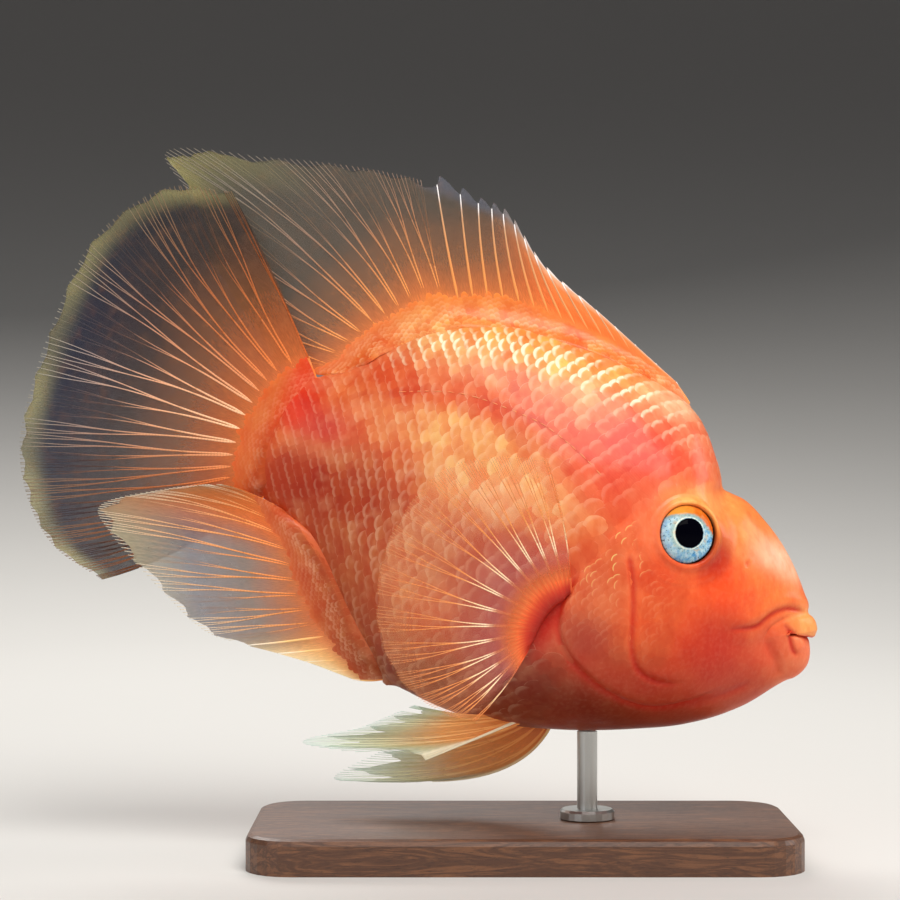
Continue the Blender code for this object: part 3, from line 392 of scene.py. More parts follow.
# Patches of the skin: x, z, reach along x and z, red, green and blue on screen, strength
PATCHES = [
    (40, 50, 48, 9, 250, 150, 70, 0.9),  # along the root of the back fin
    (56, 42.4, 22, 3.8, 255, 214, 120, 1.0),  # bright rows under it and the patch below: partly their own yellow, partly painted glints
    (31, 37.0, 9, 4.0, 255, 204, 138, 1.1),
    (72, 36, 14, 5, 254, 178, 124, 0.6),
    (25, 23.0, 10, 3.6, 236, 104, 58, 0.8),  # red band along the upper flank
    (60, 27.5, 16, 3.0, 250, 112, 72, 0.8),
    (38, 29, 12, 3, 248, 150, 104, 0.6),
    (44, 24.5, 13, 2.2, 236, 104, 66, 0.6),
    (86, 28, 12, 7, 250, 78, 56, 1.5),  # coral shoulders and forehead hump
    (96, 35, 8, 8, 253, 146, 108, 0.8),
    # painted highlight at the front of the hump
    (89, 41, 8, 4, 255, 214, 172, 1.2),
    (78, 19, 12, 9, 248, 92, 62, 0.85),
    (40, 15, 14, 5, 255, 190, 122, 0.95),  # peach flank
    (54, 8, 14, 7, 255, 200, 136, 1.3),
    (66, 10, 8, 6, 255, 190, 132, 0.9),
    (45, -12, 13, 10, 212, 142, 102, 0.85),
    (56, 4, 5, 4, 255, 216, 172, 2.2),
    (38, 25, 4, 2, 255, 160, 108, 0.8),
    # painted glints further forward along the bright rows
    (69, 38.4, 5, 3, 255, 214, 160, 0.8),
    (22, -7, 12, 8, 180, 60, 18, 1.1),  # browner rear
    (31, 2, 6, 4, 222, 120, 66, 0.7),
    (22, -26, 13, 12, 194, 100, 58, 0.9),
    (34, -37, 12, 8, 184, 92, 50, 0.85),
    (60, -13, 10, 9, 196, 100, 102, 1.0),  # violet under the pectoral fin
    (67, -25, 10, 12, 190, 98, 94, 0.95),
    # darker underside: partly its own tone, partly painted shade under the body
    (80, -39, 20, 8, 134, 60, 50, 1.0),
    (58, -44, 7, 4, 116, 60, 42, 1.1),
    (56, -46, 24, 7, 138, 70, 48, 1.0),
    (75.0, -19.5, 3.4, 8, 200, 46, 24, 2.2),  # painted shade in the hollow behind the pectoral fin
    (-1, 9, 5, 6, 236, 46, 14, 1.1),  # tail base
    (7, 6, 6, 4.0, 226, 84, 72, 0.9),
    (9, 0.5, 8, 2.6, 232, 150, 104, 0.8),
    (5, -9, 10, 6, 178, 46, 10, 1.3),
    (-5, -3, 3.5, 12, 232, 116, 48, 0.7),
    (86, -8, 8, 9, 238, 126, 84, 0.95),  # gill cover
    (87, -21, 6, 6, 186, 78, 66, 0.85),
    (95, -28, 14, 4.5, 190, 72, 50, 0.85),
    # partly painted shade under the throat
    (97, -38, 18, 5, 126, 32, 10, 1.1),
    (102, -8, 10, 10, 244, 110, 58, 0.95),  # cheek
    (116, -13, 10, 8, 202, 38, 14, 1.3),
    (110, -27, 14, 6, 184, 56, 36, 0.95),
    (127, -19, 9, 6, 190, 68, 48, 0.9),
    (118, -34, 12, 5, 150, 56, 40, 0.9),
    (113, 18, 11, 7, 254, 162, 84, 0.95),  # forehead
    (126, 7, 8, 8, 252, 134, 66, 0.9),
    # painted sheen along the profile of the snout
    (129, 13.5, 7, 3.8, 255, 216, 184, 1.8),
    (116, 2, 8, 6, 252, 92, 36, 0.95),
    (98, -1.5, 5, 4, 232, 72, 40, 0.8),
    (102, 20.0, 8, 4.0, 254, 192, 122, 1.0),  # brow
    (111, 8.5, 3.4, 5.6, 186, 24, 6, 2.0),
    (90, 10, 6, 7, 255, 136, 92, 1.1),
    (142, 0.5, 5, 3.5, 255, 186, 112, 1.3),  # lips
    (141, -10, 5, 6, 244, 138, 98, 1.0),
    (133, -9, 5, 6, 230, 106, 74, 0.8),
    (44.6, -53, 3, 3, 240, 214, 190, 0.9),  # vent
    (78, -51, 6, 3, 170, 84, 58, 0.7),
]
SATURATION = 1.18
DRIFT_TINT = np.array([0.06, 0.23, 0.26])  # how far chance changes red, green and blue
WAVES = 9  # of 5 to 15 mm, each in a direction of its own, that add up to those changes
DRIFT = random.normal(0, 1, (WAVES, 3))
DRIFT *= (2 * math.pi / np.geomspace(5, 15, WAVES) / np.linalg.norm(DRIFT, axis=1))[:, None]
DRIFT_START = random.uniform(0, 2 * math.pi, WAVES)


def drift(points):
    """Slow chance changes over the body, between about -1 and 1."""
    return np.clip(np.sin(points @ DRIFT.T + DRIFT_START).sum(axis=-1) / 4.2, -1, 1)


def marking(points, crease=0.0):
    """The skin's colour at points of the body."""
    x, z = points[..., 0], points[..., 2]
    total = np.full(np.shape(x), 0.35)
    colour = total[..., None] * FLESH
    for at_x, at_z, reach_x, reach_z, red, green, blue, strength in PATCHES:
        away = ((x - at_x) / reach_x) ** 2 + ((z - at_z) / reach_z) ** 2
        share = strength * np.exp(-1.2 * away) * 1.6
        total = total + share
        colour = colour + share[..., None] * tone(red, green, blue)
    colour = colour / total[..., None]
    change = drift(points) * (1 - 0.65 * ease(x, 84, 96))
    colour = np.clip(colour * (1 + change[..., None] * DRIFT_TINT), 0, 1)
    off, along = off_line(LATERAL_LINE, x, z)
    line = 0.35 * bump(off, 0.8) * ease(along, 0, 0.1) * (1 - ease(along, 0.85, 1))
    # Creases take DEEP_CREASE as painted shade, partly their own red; the lateral line takes it as its own
    # faint mark
    share = np.clip(np.maximum(line, crease), 0, 1)[..., None]
    return (colour * (1 - share) + share * DEEP_CREASE) ** SATURATION


def behind_head(points):
    """How far points lie behind the edge of the head and gill cover."""
    return off_line(NAPE_FOLD + COVER_EDGE, points[..., 0], points[..., 2])[0]


def glint_of(points):
    """How strongly scales get painted highlights, most along the rows under the back fin and on the gill cover.
    """
    x, z = points[..., 0], points[..., 2]
    top = back(x)
    rows = bump(z - (top - 6.5 - 0.03 * (x - 40)), 3.8) * ease(x, 14, 34) * (1 - 0.8 * ease(x, 78, 94))
    cover = bump(np.hypot((x - 87) / 0.9, z - 1), 9) * ease(-behind_head(points), 0, 1.5)
    return np.clip(rows * (1 - ease(x, 88, 104)) + cover, 0, 1)


# Mesh tools

def to_world(points):
    points = np.asarray(points, float).reshape(-1, 3)
    turn = np.array(fish_to_world)
    return points @ turn[:3, :3].T + turn[:3, 3]


def linked(name, data):
    """A new object in the scene."""
    made = bpy.data.objects.new(name, data)
    bpy.context.scene.collection.objects.link(made)
    return made


def mesh_piece(name, points, faces, colour=None, numbers=None, maps=None, placed=False):
    """A smooth mesh object from points in the fish's frame, or placed in the world already.

    Each point can have a colour, numbers and places on UV maps. How wet it looks follows from its height.
    """
    mesh = bpy.data.meshes.new(name)
    where = np.asarray(points, float).reshape(-1, 3) if placed else to_world(points)
    mesh.from_pydata(where.tolist(), [], faces)
    if colour is not None:
        layer = mesh.attributes.new("marking", "FLOAT_COLOR", "POINT")
        flat = np.asarray(colour, float).reshape(-1, 3)
        layer.data.foreach_set("color", np.column_stack([flat, np.ones(len(flat))]).ravel())
    numbers = dict(numbers or {}, wet=ease(np.asarray(points, float).reshape(-1, 3)[:, 2], -14, 22))
    for key, values in numbers.items():
        layer = mesh.attributes.new(key, "FLOAT", "POINT")
        layer.data.foreach_set("value", np.asarray(values, float).ravel())
    corners = np.zeros(len(mesh.loops), int)
    mesh.loops.foreach_get("vertex_index", corners)
    for key, values in (maps or {}).items():
        layer = mesh.uv_layers.new(name=key)
        layer.data.foreach_set("uv", np.asarray(values, float).reshape(-1, 2)[corners].ravel())
    mesh.shade_smooth()
    return linked(name, mesh)


def grid_faces(rows, columns, closed=False, start=0, flip=False):
    """Quads over a grid of points that is numbered row by row."""
    faces = []
    for row in range(rows - 1):
        for k in range(columns if closed else columns - 1):
            a, b = start + row * columns + k, start + row * columns + (k + 1) % columns
            face = (a, b, b + columns, a + columns)
            faces.append(face[::-1] if flip else face)
    return faces


BEYOND = 80  # further from the middle than any part of the fish


class Ground:
    """A surface that other pieces are set on."""

    def __init__(self, points, faces):
        self.tree = BVHTree.FromPolygons([Vector(point) for point in np.reshape(points, (-1, 3))], faces)

    def nearest(self, points):
        found = [self.tree.find_nearest(Vector(point))[:2] for point in points]
        return np.array([spot[:] for spot, _ in found]), np.array([normal[:] for _, normal in found])

    def seen(self, x, z, side):
        """The surface's point at one place seen from the side, or None."""
        return self.tree.ray_cast(Vector((x, side * BEYOND, z)), Vector((0, -side, 0)))[0]

    def out(self, x, z, side):
        """How far the surface lies from the middle at one place seen from the side."""
        hit = self.seen(x, z, side)
        return abs(hit.y) if hit else 0.0


# Materials

class Number:
    """A value in a material. Sums on it add Math nodes."""

    def __init__(self, paint, socket):
        self.paint, self.socket = paint, socket

    def math(self, operation, *others, clamp=False):
        settings = {"operation": operation, "use_clamp": clamp}
        return self.paint.node("Math", settings, dict(enumerate((self, *others))))

    def __add__(self, other):
        return self.math("ADD", other)

    __radd__ = __add__

    def __mul__(self, other):
        return self.math("MULTIPLY", other)

    __rmul__ = __mul__

    def __sub__(self, other):
        return self.math("SUBTRACT", other)

    def __rsub__(self, other):
        return (self * -1) + other

    def __truediv__(self, other):
        return self.math("DIVIDE", other)

    def clamp(self):
        return self.math("ADD", 0.0, clamp=True)

    def ease(self, start, end):
        """Rises smoothly from 0 to 1 between two values."""
        settings = {"interpolation_type": "SMOOTHSTEP"}
        return self.paint.node("MapRange", settings, {"Value": self, "From Min": start, "From Max": end})


class Paint:
    """A material round one Principled shader."""

    def __init__(self, name, **constants):
        self.material = bpy.data.materials.new(name)
        self.material.use_nodes = True
        self.tree = self.material.node_tree
        self.shader = self.tree.nodes["Principled BSDF"]
        for key, value in constants.items():
            self.shader.inputs[key.replace("_", " ")].default_value = value

    def node(self, kind, settings=None, inputs=None, output=0):
        """One node, from its type, its settings and the values or links of its sockets."""
        made = self.tree.nodes.new("ShaderNode" + kind)
        for key, value in (settings or {}).items():
            setattr(made, key, value)
        for key, value in (inputs or {}).items():
            self.feed(made.inputs[key], value)
        return Number(self, made.outputs[output])

    def feed(self, socket, value):
        if isinstance(value, Number):
            self.tree.links.new(value.socket, socket)
        elif hasattr(socket.default_value, "__len__") and len(socket.default_value) == 4:
            socket.default_value = (*value[:3], 1)
        else:
            socket.default_value = value

    def set(self, **inputs):
        for key, value in inputs.items():
            self.feed(self.shader.inputs[key.replace("_", " ")], value)

    def mix(self, share, first, second, blend="MIX"):
        settings = {"data_type": "RGBA", "blend_type": blend}
        return self.node("Mix", settings, {0: share, 6: first, 7: second}, 2)

    def shaded(self, share, colour, factors):
        """A colour changed, by a share, to its red, green and blue times three factors."""
        return self.mix(share, colour, self.mix(1.0, colour, factors, "MULTIPLY"))

    def scaled(self, where, scale):
        return self.node("VectorMath", {"operation": "MULTIPLY"}, {0: where, 1: scale})

    def point(self, scale=(1, 1, 1)):
        """Places in the object's own frame, in metres, scaled."""
        return self.scaled(self.node("TexCoord", output="Object"), scale)

    def value(self, name):
        return self.node("Attribute", {"attribute_name": name}, output="Fac")

    def colour(self, name):
        return self.node("Attribute", {"attribute_name": name}, output="Color")

    def noise(self, scale, detail=2.0, where=None, rough=0.5, twist=0.0):
        inputs = {"Vector": where or self.point(), "Scale": scale, "Detail": detail, "Roughness": rough,
                  "Distortion": twist}
        return self.node("TexNoise", None, inputs)

    def cells(self, scale):
        return self.node("TexVoronoi", None, {"Vector": self.point(), "Scale": scale})

    def bump(self, height, strength, distance):
        inputs = {"Strength": strength, "Distance": distance, "Height": height}
        self.set(Normal=self.node("Bump", None, inputs))


def flesh_material(name, scaled):
    """Wet skin over flesh. Scales have the same, with a pale rim that is partly painted highlight, a tone of
    their own, painted glints and painted shade toward the front of each.
    """
    paint = Paint(name, Subsurface_Weight=0.14, Subsurface_Radius=(1.0, 0.30, 0.16), Subsurface_Scale=0.0020,
                  Coat_Roughness=0.14, Specular_IOR_Level=0.20)
    colour = paint.colour("marking")
    blotch = paint.noise(120, 2).ease(0.42, 0.66)
    colour = paint.shaded(blotch * 0.40, colour, (1.0, 0.74, 0.72))
    wash = paint.noise(360, 2, paint.point((1.0, 1.0, 0.55)), 0.66)
    colour = paint.shaded(wash.ease(0.52, 0.68) * 0.42, colour, (1.06, 1.38, 1.5))
    colour = paint.shaded((1 - wash.ease(0.36, 0.50)) * 0.42, colour, (0.93, 0.66, 0.5))
    fine = paint.noise(900, 1)
    rough = 0.36 + fine * 0.14
    if scaled:
        rim, own, shine, bold, rear = (paint.value(key) for key in ("rim", "own", "shine", "bold", "rear"))
        milk = paint.noise(170, 2, rough=0.6).ease(0.50, 0.70)
        colour = paint.mix(milk * 0.26 * bold, colour, tone(254, 184, 136))
        colour = paint.shaded((1 - own.ease(0.0, 0.5)) * bold * bold * 0.8, colour, (0.95, 0.56, 0.42))
        colour = paint.shaded(own.ease(0.5, 1.0) * bold * bold * 0.9, colour, (1.12, 1.55, 1.65))
        # Painted shade toward the front of each scale, under the rim of the one ahead
        shade = (1 - (rim * 0.6 + rear * 0.5).ease(0.45, 0.98)) * bold
        colour = paint.shaded(shade * 0.34, colour, (0.88, 0.46, 0.32))
        # Pale crescent at the rear of each scale: partly its own pearly tone, partly painted highlight
        pearly_glint = rim.ease(0.40, 0.62) * (1 - rim.ease(0.84, 0.94)) * rear.ease(0.66, 0.86)
        colour = paint.mix(pearly_glint * bold * own.ease(0.2, 0.8) * 0.26, colour, tone(255, 208, 172))
        # Pale rims: partly their own pale edge, partly painted highlight where shine is high
        edge = rim.ease(0.84, 0.97)
        colour = paint.mix(edge * bold * (wash.ease(0.38, 0.6) * 0.4 + shine * 0.3), colour, PALE_RIM_AND_GLINT)
        on_body = bold.ease(0.36, 0.44)
        # Painted glints, near white, on the scales along the rows under the back fin
        painted_glint = pearly_glint * shine * (0.15 + own.ease(0.10, 0.5) * 0.6 + wash.ease(0.42, 0.6) * 0.5) * on_body
        colour = paint.mix((painted_glint * 1.25).clamp(), colour, tone(255, 248, 206))
        # Painted glints: thin yellow lines along the rims of the face scales
        streak = rim.ease(0.64, 0.80) * rear.ease(0.80, 0.90) * own.ease(0.5, 0.75) * shine * (1 - on_body)
        colour = paint.mix(streak * 0.9, colour, tone(255, 218, 130))
        rough = rough - shine * 0.10
        ribs = paint.value("ribs").math("SINE") * 0.5
        paint.bump(ribs * 0.25 + fine, 0.20, 0.00010)
    else:
        pores = paint.cells(1500).ease(0.0, 0.5)
        colour = paint.mix(fine.ease(0.40, 0.75) * 0.03, colour, tone(255, 214, 176))
        paint.bump(fine * 0.6 + pores * 0.4 + blotch * 0.8, 0.20, 0.00020)
        rough = rough + paint.value("crease") * 0.1
    paint.set(Base_Color=colour, Roughness=rough, Coat_Weight=0.05 + paint.value("wet") * 0.14)
    return paint.material


def fin_material(name, clear_through):
    """Rays, and the thin see-through web between them."""
    paint = Paint(name, Specular_IOR_Level=0.3, Coat_Roughness=0.2, Coat_Weight=0.12, Emission_Strength=0.14)
    colour, clear, ray = paint.colour("marking"), paint.value("body"), paint.value("ray")
    place = paint.node("UVMap", {"uv_map": "Fin"})
    fine = paint.noise(1.0, 2, paint.scaled(place, (34, 5, 1)))
    veil = paint.noise(1.0, 2, paint.scaled(place, (2.2, 3.5, 1)), rough=0.6)
    streak = fine.ease(0.35, 0.7) * (1 - ray)
    colour = paint.shaded(streak * 0.32, colour, (1.5, 1.42, 1.35))
    colour = paint.mix(veil.ease(0.45, 0.8) * 0.12 * (1 - ray), colour, tone(196, 132, 84))
    joints = paint.value("joint").math("SINE").ease(0.2, 0.95) * ray
    colour = paint.shaded(joints * 0.30, colour, (0.55, 0.42, 0.36))
    paint.bump(fine * (1 - ray) + joints * 0.6, 0.5, 0.00015)
    if clear_through:
        paint.set(Alpha=(clear * (0.86 + veil * 0.28 + streak * 0.18)).clamp())
    glow = paint.shaded(1 - ray, colour, (0.3, 0.3, 0.3))  # painted glow: emission stands in for light that comes through the rays, less through the web
    paint.set(Base_Color=colour, Roughness=0.34 + fine * 0.15, Emission_Color=glow)
    return paint.material


def eye_material():
    """Sky-blue iris with an orange upper border and a bright ring round the black pupil, under a wet film."""
    paint = Paint("eye_under_cornea", Coat_Roughness=0.03, Specular_IOR_Level=0.0)
    place = paint.node("UVMap", {"uv_map": "Iris"})
    across = paint.node("SeparateXYZ", None, {0: place}, "X")
    up = paint.node("SeparateXYZ", None, {0: place}, "Y")
    radius = (across * across + up * up).math("SQRT")
    grain = paint.noise(13.0, 4, place, 0.65)
    cloud = paint.noise(4.5, 3, place, 0.6)
    spokes = paint.node("CombineXYZ", None, {0: up.math("ARCTAN2", across) * 7.0, 1: radius * 6.0})
    streaks = paint.noise(1.0, 2, spokes)
    front = (across * 0.94 - up * 0.34) / (radius + 0.001)
    rear = across * -1.0 / (radius + 0.001)
    lean = (across * 0.42 + up * 0.91) / (radius + 0.001)
    inner = 1 - radius.ease(0.60, 0.76)
    iris = paint.mix(cloud.ease(0.36, 0.64), tone(84, 158, 214), tone(158, 208, 228))
    iris = paint.mix(streaks.ease(0.44, 0.66) * 0.55, iris, tone(224, 244, 246))
    iris = paint.mix(rear.ease(0.2, 0.9) * 0.35, iris, tone(206, 230, 232))
    iris = paint.mix(inner * (0.25 + rear.clamp() * 0.4), iris, tone(176, 200, 178))
    iris = paint.mix(cloud.ease(0.52, 0.62) * inner * (1 - lean.clamp()) * 0.55, iris, tone(214, 150, 88))
    iris = paint.mix(grain.ease(0.58, 0.65) * 0.8, iris, tone(26, 50, 70))
    border = 1.04 - lean.ease(-0.1, 0.9) * 0.40
    haze = (radius - border + 0.10 + (grain - 0.5) * 0.12).ease(-0.05, 0.08) * lean.ease(-0.1, 0.3)
    iris = paint.mix(haze * 0.55, iris, tone(140, 148, 116))
    amber = (radius - border + (grain - 0.5) * 0.12).ease(-0.02, 0.08)
    gold = paint.mix((across * 0.8 + cloud).ease(0.2, 1.1), tone(236, 156, 58), tone(214, 98, 26))
    iris = paint.mix(amber, iris, gold)
    # Dark edge round the iris, widest at the front: partly its own dark border, partly painted shade where the
    # lid meets the eye
    edge = radius - 0.98 + front.clamp() * 0.12 + rear.clamp() * 0.05 + (grain - 0.5) * 0.10
    iris = paint.mix(edge.ease(0.0, 0.05), iris, tone(30, 16, 12))
    wobble = radius + (grain - 0.5) * 0.06
    wider = rear.clamp() * 0.02
    ring = 1 - (wobble - 0.535 - wider).math("ABSOLUTE").ease(0.006, 0.026 + wider)
    iris = paint.mix(ring * (0.5 + cloud.ease(0.4, 0.6) * 0.4), iris, tone(244, 246, 224))
    pupil = 1 - wobble.ease(0.496, 0.514)
    iris = paint.mix(pupil, iris, (0.001, 0.001, 0.003))
    paint.bump(grain + streaks, 0.25, 0.0001)
    paint.set(Base_Color=iris, Roughness=0.3, Coat_Weight=0.22 - pupil * 0.19)
    return paint.material


def walnut_material():
    paint = Paint("dark_satin_walnut", Coat_Weight=0.35, Coat_Roughness=0.25)
    stretched = paint.point((18, 150, 150))
    waves = paint.noise(2.2, 4, stretched, 0.6, 1.2)
    rings = (waves * 22.0).math("SINE") * 0.5 + 0.5
    pores = paint.noise(9.0, 3, paint.point((60, 900, 900)), 0.7)
    wood = paint.mix(rings, tone(84, 50, 30), tone(122, 78, 48))
    wood = paint.mix(pores.ease(0.52, 0.68) * 0.7, wood, tone(44, 26, 16))
    paint.bump(rings * 0.2 - pores.ease(0.52, 0.68), 0.25, 0.0002)
    paint.set(Base_Color=wood, Roughness=0.42 + pores * 0.2)
    return paint.material


def steel_material():
    paint = Paint("brushed_steel", Metallic=1.0)
    hair = paint.noise(3.0, 3, paint.point((900, 900, 9000)), 0.7)
    paint.bump(hair, 0.15, 0.00005)
    paint.set(Base_Color=paint.mix(hair, tone(168, 168, 166), tone(206, 206, 202)),
              Roughness=0.24 + hair * 0.18)
    return paint.material


def dress(piece, material, slot, *nodes):
    """Gives a piece its finish, hangs it under the root and hides the solids that it stands for."""
    piece.data.materials.clear()
    piece.data.materials.append(material)
    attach(piece, "root")
    if nodes:
        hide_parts(*nodes)


# Skin

BODY_ROWS, HEAD_ROWS, LIP_ROWS, AROUND = 84, 130, 62, 300


def build_skin(material):
    """One skin over the fish's flesh; gives back the smooth surface that other pieces stand on."""
    theta = circle(AROUND)
    turn = theta + 0.2 * np.sin(2 * theta)
    stations = np.concatenate([np.linspace(SKIN_FROM, HEAD_FROM, BODY_ROWS, endpoint=False),
                               np.linspace(HEAD_FROM, SKIN_TO, HEAD_ROWS)])
    grid = settled(np.concatenate([body_points(stations, turn), lip_points(LIP_ROWS, turn)]))
    near_lips = grid[len(stations) - 12:len(stations) + 8]
    for _ in range(10):
        near_lips[1:-1] = (near_lips[:-2] + 2 * near_lips[1:-1] + near_lips[2:]) / 4
    normal = normals_of(grid)
    height, crease = relief(grid)
    bare = height + eye_bed(grid)
    rows = len(grid)
    faces = grid_faces(rows, AROUND, closed=True)
    ground = Ground(grid + normal * (bare - COAT)[..., None], faces)
    points = grid + normal * (height - COAT)[..., None]
    # Painted shade: the rings that run into the mouth take the dark crease colour
    mouth = ease(np.arange(rows), rows - 16, rows - 4)[:, None]
    colour = marking(grid, np.maximum(crease, 0.75 * mouth))
    u, v = np.meshgrid(np.arange(rows) / rows, np.arange(AROUND) / AROUND, indexing="ij")
    ends = [tuple(range(AROUND)), tuple((rows - 1) * AROUND + k for k in range(AROUND))]
    skin = mesh_piece("skin", points, faces + ends, colour, {"crease": crease},
                      {"OFBake": np.stack([u, v], axis=-1)})
    dress(skin, material, "skin", "head", "trunk", "tail_base", "gill_cover_right", "gill_cover_left")
    return ground


# Scales

def scale_shape():
    """One scale: its points along and across it, their height, how near its rim they are, and its faces."""
    along, across, lift, rim = [0.42], [0.0], [0.06], [0.0]
    loops = []
    for reach, count, edge in ((0.5, 8, 0.3), (0.8, 14, 0.6), (0.93, 20, 0.8), (1.0, 20, 1.0)):
        loop = []
        for share in np.arange(count) / count * 2 - 1:
            angle = math.pi * (share * 0.65 + 0.35 * share ** 3)  # more points round the rear edge
            loop.append(len(along))
            long = 0.58 if math.cos(angle) > 0 else 0.42
            along.append(0.42 + long * reach * math.cos(angle))
            across.append(reach * math.sin(angle) * 0.5)
            lift.append(0.06 * (1 - reach ** 2))
            rim.append(edge)
        loops.append(loop)
    for drop in (0.0, -0.16):  # the edge has points of its own, so that the top stays smooth
        loop = []
        for index in loops[3]:
            loop.append(len(along))
            along.append(along[index])
            across.append(across[index])
            lift.append(drop)
            rim.append(0.9)
        loops.append(loop)
    faces = [(0, a, b) for a, b in zip(loops[0], loops[0][1:] + loops[0][:1])]
    for inner, outer in zip(loops[:3], loops[1:4]):
        i = j = 0
        while i < len(inner) or j < len(outer):
            if j * len(inner) <= i * len(outer):
                faces.append((inner[i % len(inner)], outer[j % len(outer)], outer[(j + 1) % len(outer)]))
                j += 1
            else:
                faces.append((inner[i % len(inner)], outer[j % len(outer)], inner[(i + 1) % len(inner)]))
                i += 1
    upper, lower = loops[4], loops[5]
    for k, a in enumerate(upper):
        b, c, d = upper[(k + 1) % len(upper)], lower[(k + 1) % len(upper)], lower[k]
        faces.append((a, d, c))
        faces.append((a, c, b))
    return np.array(along), np.array(across), np.array(lift), np.array(rim), np.array(faces)


SHAPE = scale_shape()
PATCH = 0.003  # how wide one scale is on the unwrapped skin
MAP_LENGTH = 170  # millimetres along the fish over the whole width of that map
MAP_ROWS = 260  # half rows of scales over its whole height
PAST_EDGE = 1.2  # how far the rows go on past the edges of the back and belly
FAINTEST = 0.05  # scales less bold than this are left out
step_at, row_at, middle_at = curve(SCALE_STEP), curve(SCALE_ROW), curve(MIDDLE_ROW)


def section(x):
    """Points down the right side at a station, and how far along the skin above MIDDLE_ROW they lie."""
    points = settled(body_points(np.array([x]), np.linspace(0.02, math.pi - 0.02, 160)))[0]
    run = distances(points)
    zero = np.interp(-middle_at(x), -points[:, 2], run)
    return points, zero - run


def boldness(points):
    """How clearly the body's scales stand out at places on it, 0 where it has none."""
    x, z = points[:, 0], points[:, 2]
    edge = behind_head(points)
    shoulder = bump(np.hypot(x - 90, z - 22), 15)
    bold = 0.85 - 0.35 * (1 - ease(x, 4, 34)) - 0.3 * ease(-z, 18, 34) - 0.42 * shoulder
    bold *= ease(edge, 0.6, 2.4) * (1 - ease(z, 4, 12) * (1 - ease(edge, 2, 14)) * 0.5)
    bold *= 1 - ease(x, 76, 86) * ease(-z, 14, 24)
    bold *= ease(np.hypot((x - 77.5) / 1.0, (z + 19.5) / 1.9), 5.0, 7.0)  # pectoral fin's root
    return bold * (1 - ease(x, 106, 112))


def face_boldness(points):
    """The same for the smaller scales of the cheek and gill cover."""
    x, z = points[:, 0], points[:, 2]
    cheek, _ = off_line(CHEEK_EDGE, x, z)
    bold = 0.24 * ease(-behind_head(points), 0.8, 2.4) * (1 - ease(x, 101, 109))
    bold = bold * (1 - ease(z, 13, 20)) * ease(z, -27, -18)
    return bold * ease(np.abs(cheek), 1.2, 3.6) * ease(from_eye(x, z), 10.6, 13.0)


def read_columns(value, at, table):
    """Rows of a table read between the places where they stand."""
    return np.stack([np.interp(value, at, column) for column in table.T], axis=-1)


def lay_scales(side, start, end, share, clear):
    """Roots, ways to the rear, sizes, boldness and places on the unwrapped skin, of one side's scales."""
    rows = []
    x = start
    while x < end:
        step = float(step_at(x)) * share
        for odd in (0, 1):
            at = x + 0.5 * odd * step
            here, level = section(at)
            behind, level_behind = section(at - 1.0)
            row, row_behind = float(row_at(at)) / 2 * share, float(row_at(at - 1.0)) / 2 * share
            numbers = np.arange(-90 + odd, 90, 2)
            fits = (numbers * row > level[-1] - PAST_EDGE) & (numbers * row < level[0] + PAST_EDGE)
            numbers = numbers[fits]
            w = numbers * row + random.normal(0, 0.04 if share == 1 else 0.2, len(numbers)) * row
            spot = read_columns(-w, -level, here)
            rear = read_columns(-numbers * row_behind, -level_behind, behind)
            size = np.tile((step, 2 * row), (len(numbers), 1)) * random.uniform(0.96, 1.04, (len(numbers), 1))
            u, v = (at + 6) / MAP_LENGTH, 0.25 + numbers * share / MAP_ROWS
            place = np.column_stack([np.full(len(numbers), u), v])
            rows.append(np.column_stack([spot, rear - spot, size, place]))
        x += step
    rows = np.concatenate(rows)
    bold = clear(rows[:, :3])
    rows, bold = rows[bold > FAINTEST], bold[bold > FAINTEST]
    mirror = np.array([1, -side, 1])
    place = rows[:, 8:10] + (0, 0.5 if side > 0 else 0)
    return rows[:, :3] * mirror, rows[:, 3:6] * mirror, rows[:, 6:8], bold, place


def build_scales(name, laid, ground, material, colour_at=None):
    """Joined plates that lie on the ground like shingles, each rising to its rear edge."""
    roots, ways, sizes, bold, places = laid
    along, across, lift, rim, faces = SHAPE
    count, each = len(roots), len(along)
    base, normal = ground.nearest(roots)
    ways = unit(ways - normal * (ways * normal).sum(1, keepdims=True))
    sideways = np.cross(normal, ways)
    long = (sizes[:, 0] * 1.95)[:, None]
    wide = (sizes[:, 1] * 1.02)[:, None]
    spread = (base[:, None] + ways[:, None] * ((along - 0.55)[None] * long)[..., None]
              + sideways[:, None] * (across[None] * wide)[..., None])
    under, up = ground.nearest(spread.reshape(-1, 3))
    own = np.clip(0.15 + 0.7 * random.uniform(0, 1, count) + 0.3 * drift(base * 1.7), 0, 1)
    small = np.clip(sizes[:, :1] / 3.0, 0.35, 1)
    tilt = (0.17 + 0.05 * own)[:, None] * along[None] - 0.03
    height = (tilt + lift[None]) * (0.12 + 0.88 * bold)[:, None] * small
    points = under + up * height.reshape(-1, 1)
    if colour_at is None:
        colour = 0.5 * np.repeat(marking(base), each, axis=0) + 0.5 * marking(under)
        shine = np.repeat(glint_of(base), each)
    else:
        colour, shine = np.repeat(colour_at(base), each, axis=0), np.zeros(count * each)
    numbers = {"rim": np.tile(rim, count), "rear": np.tile(along, count), "ribs": np.tile(across * 70, count),
               "own": np.repeat(own, each), "bold": np.repeat(bold, each), "shine": shine}
    uv = places[:, None] + PATCH * np.column_stack([along - 0.5, across])[None]
    all_faces = (faces[None] + (np.arange(count) * each)[:, None, None]).reshape(-1, 3)
    dress(mesh_piece(name, points, all_faces.tolist(), colour, numbers, {"OFBake": uv}), material, "skin")


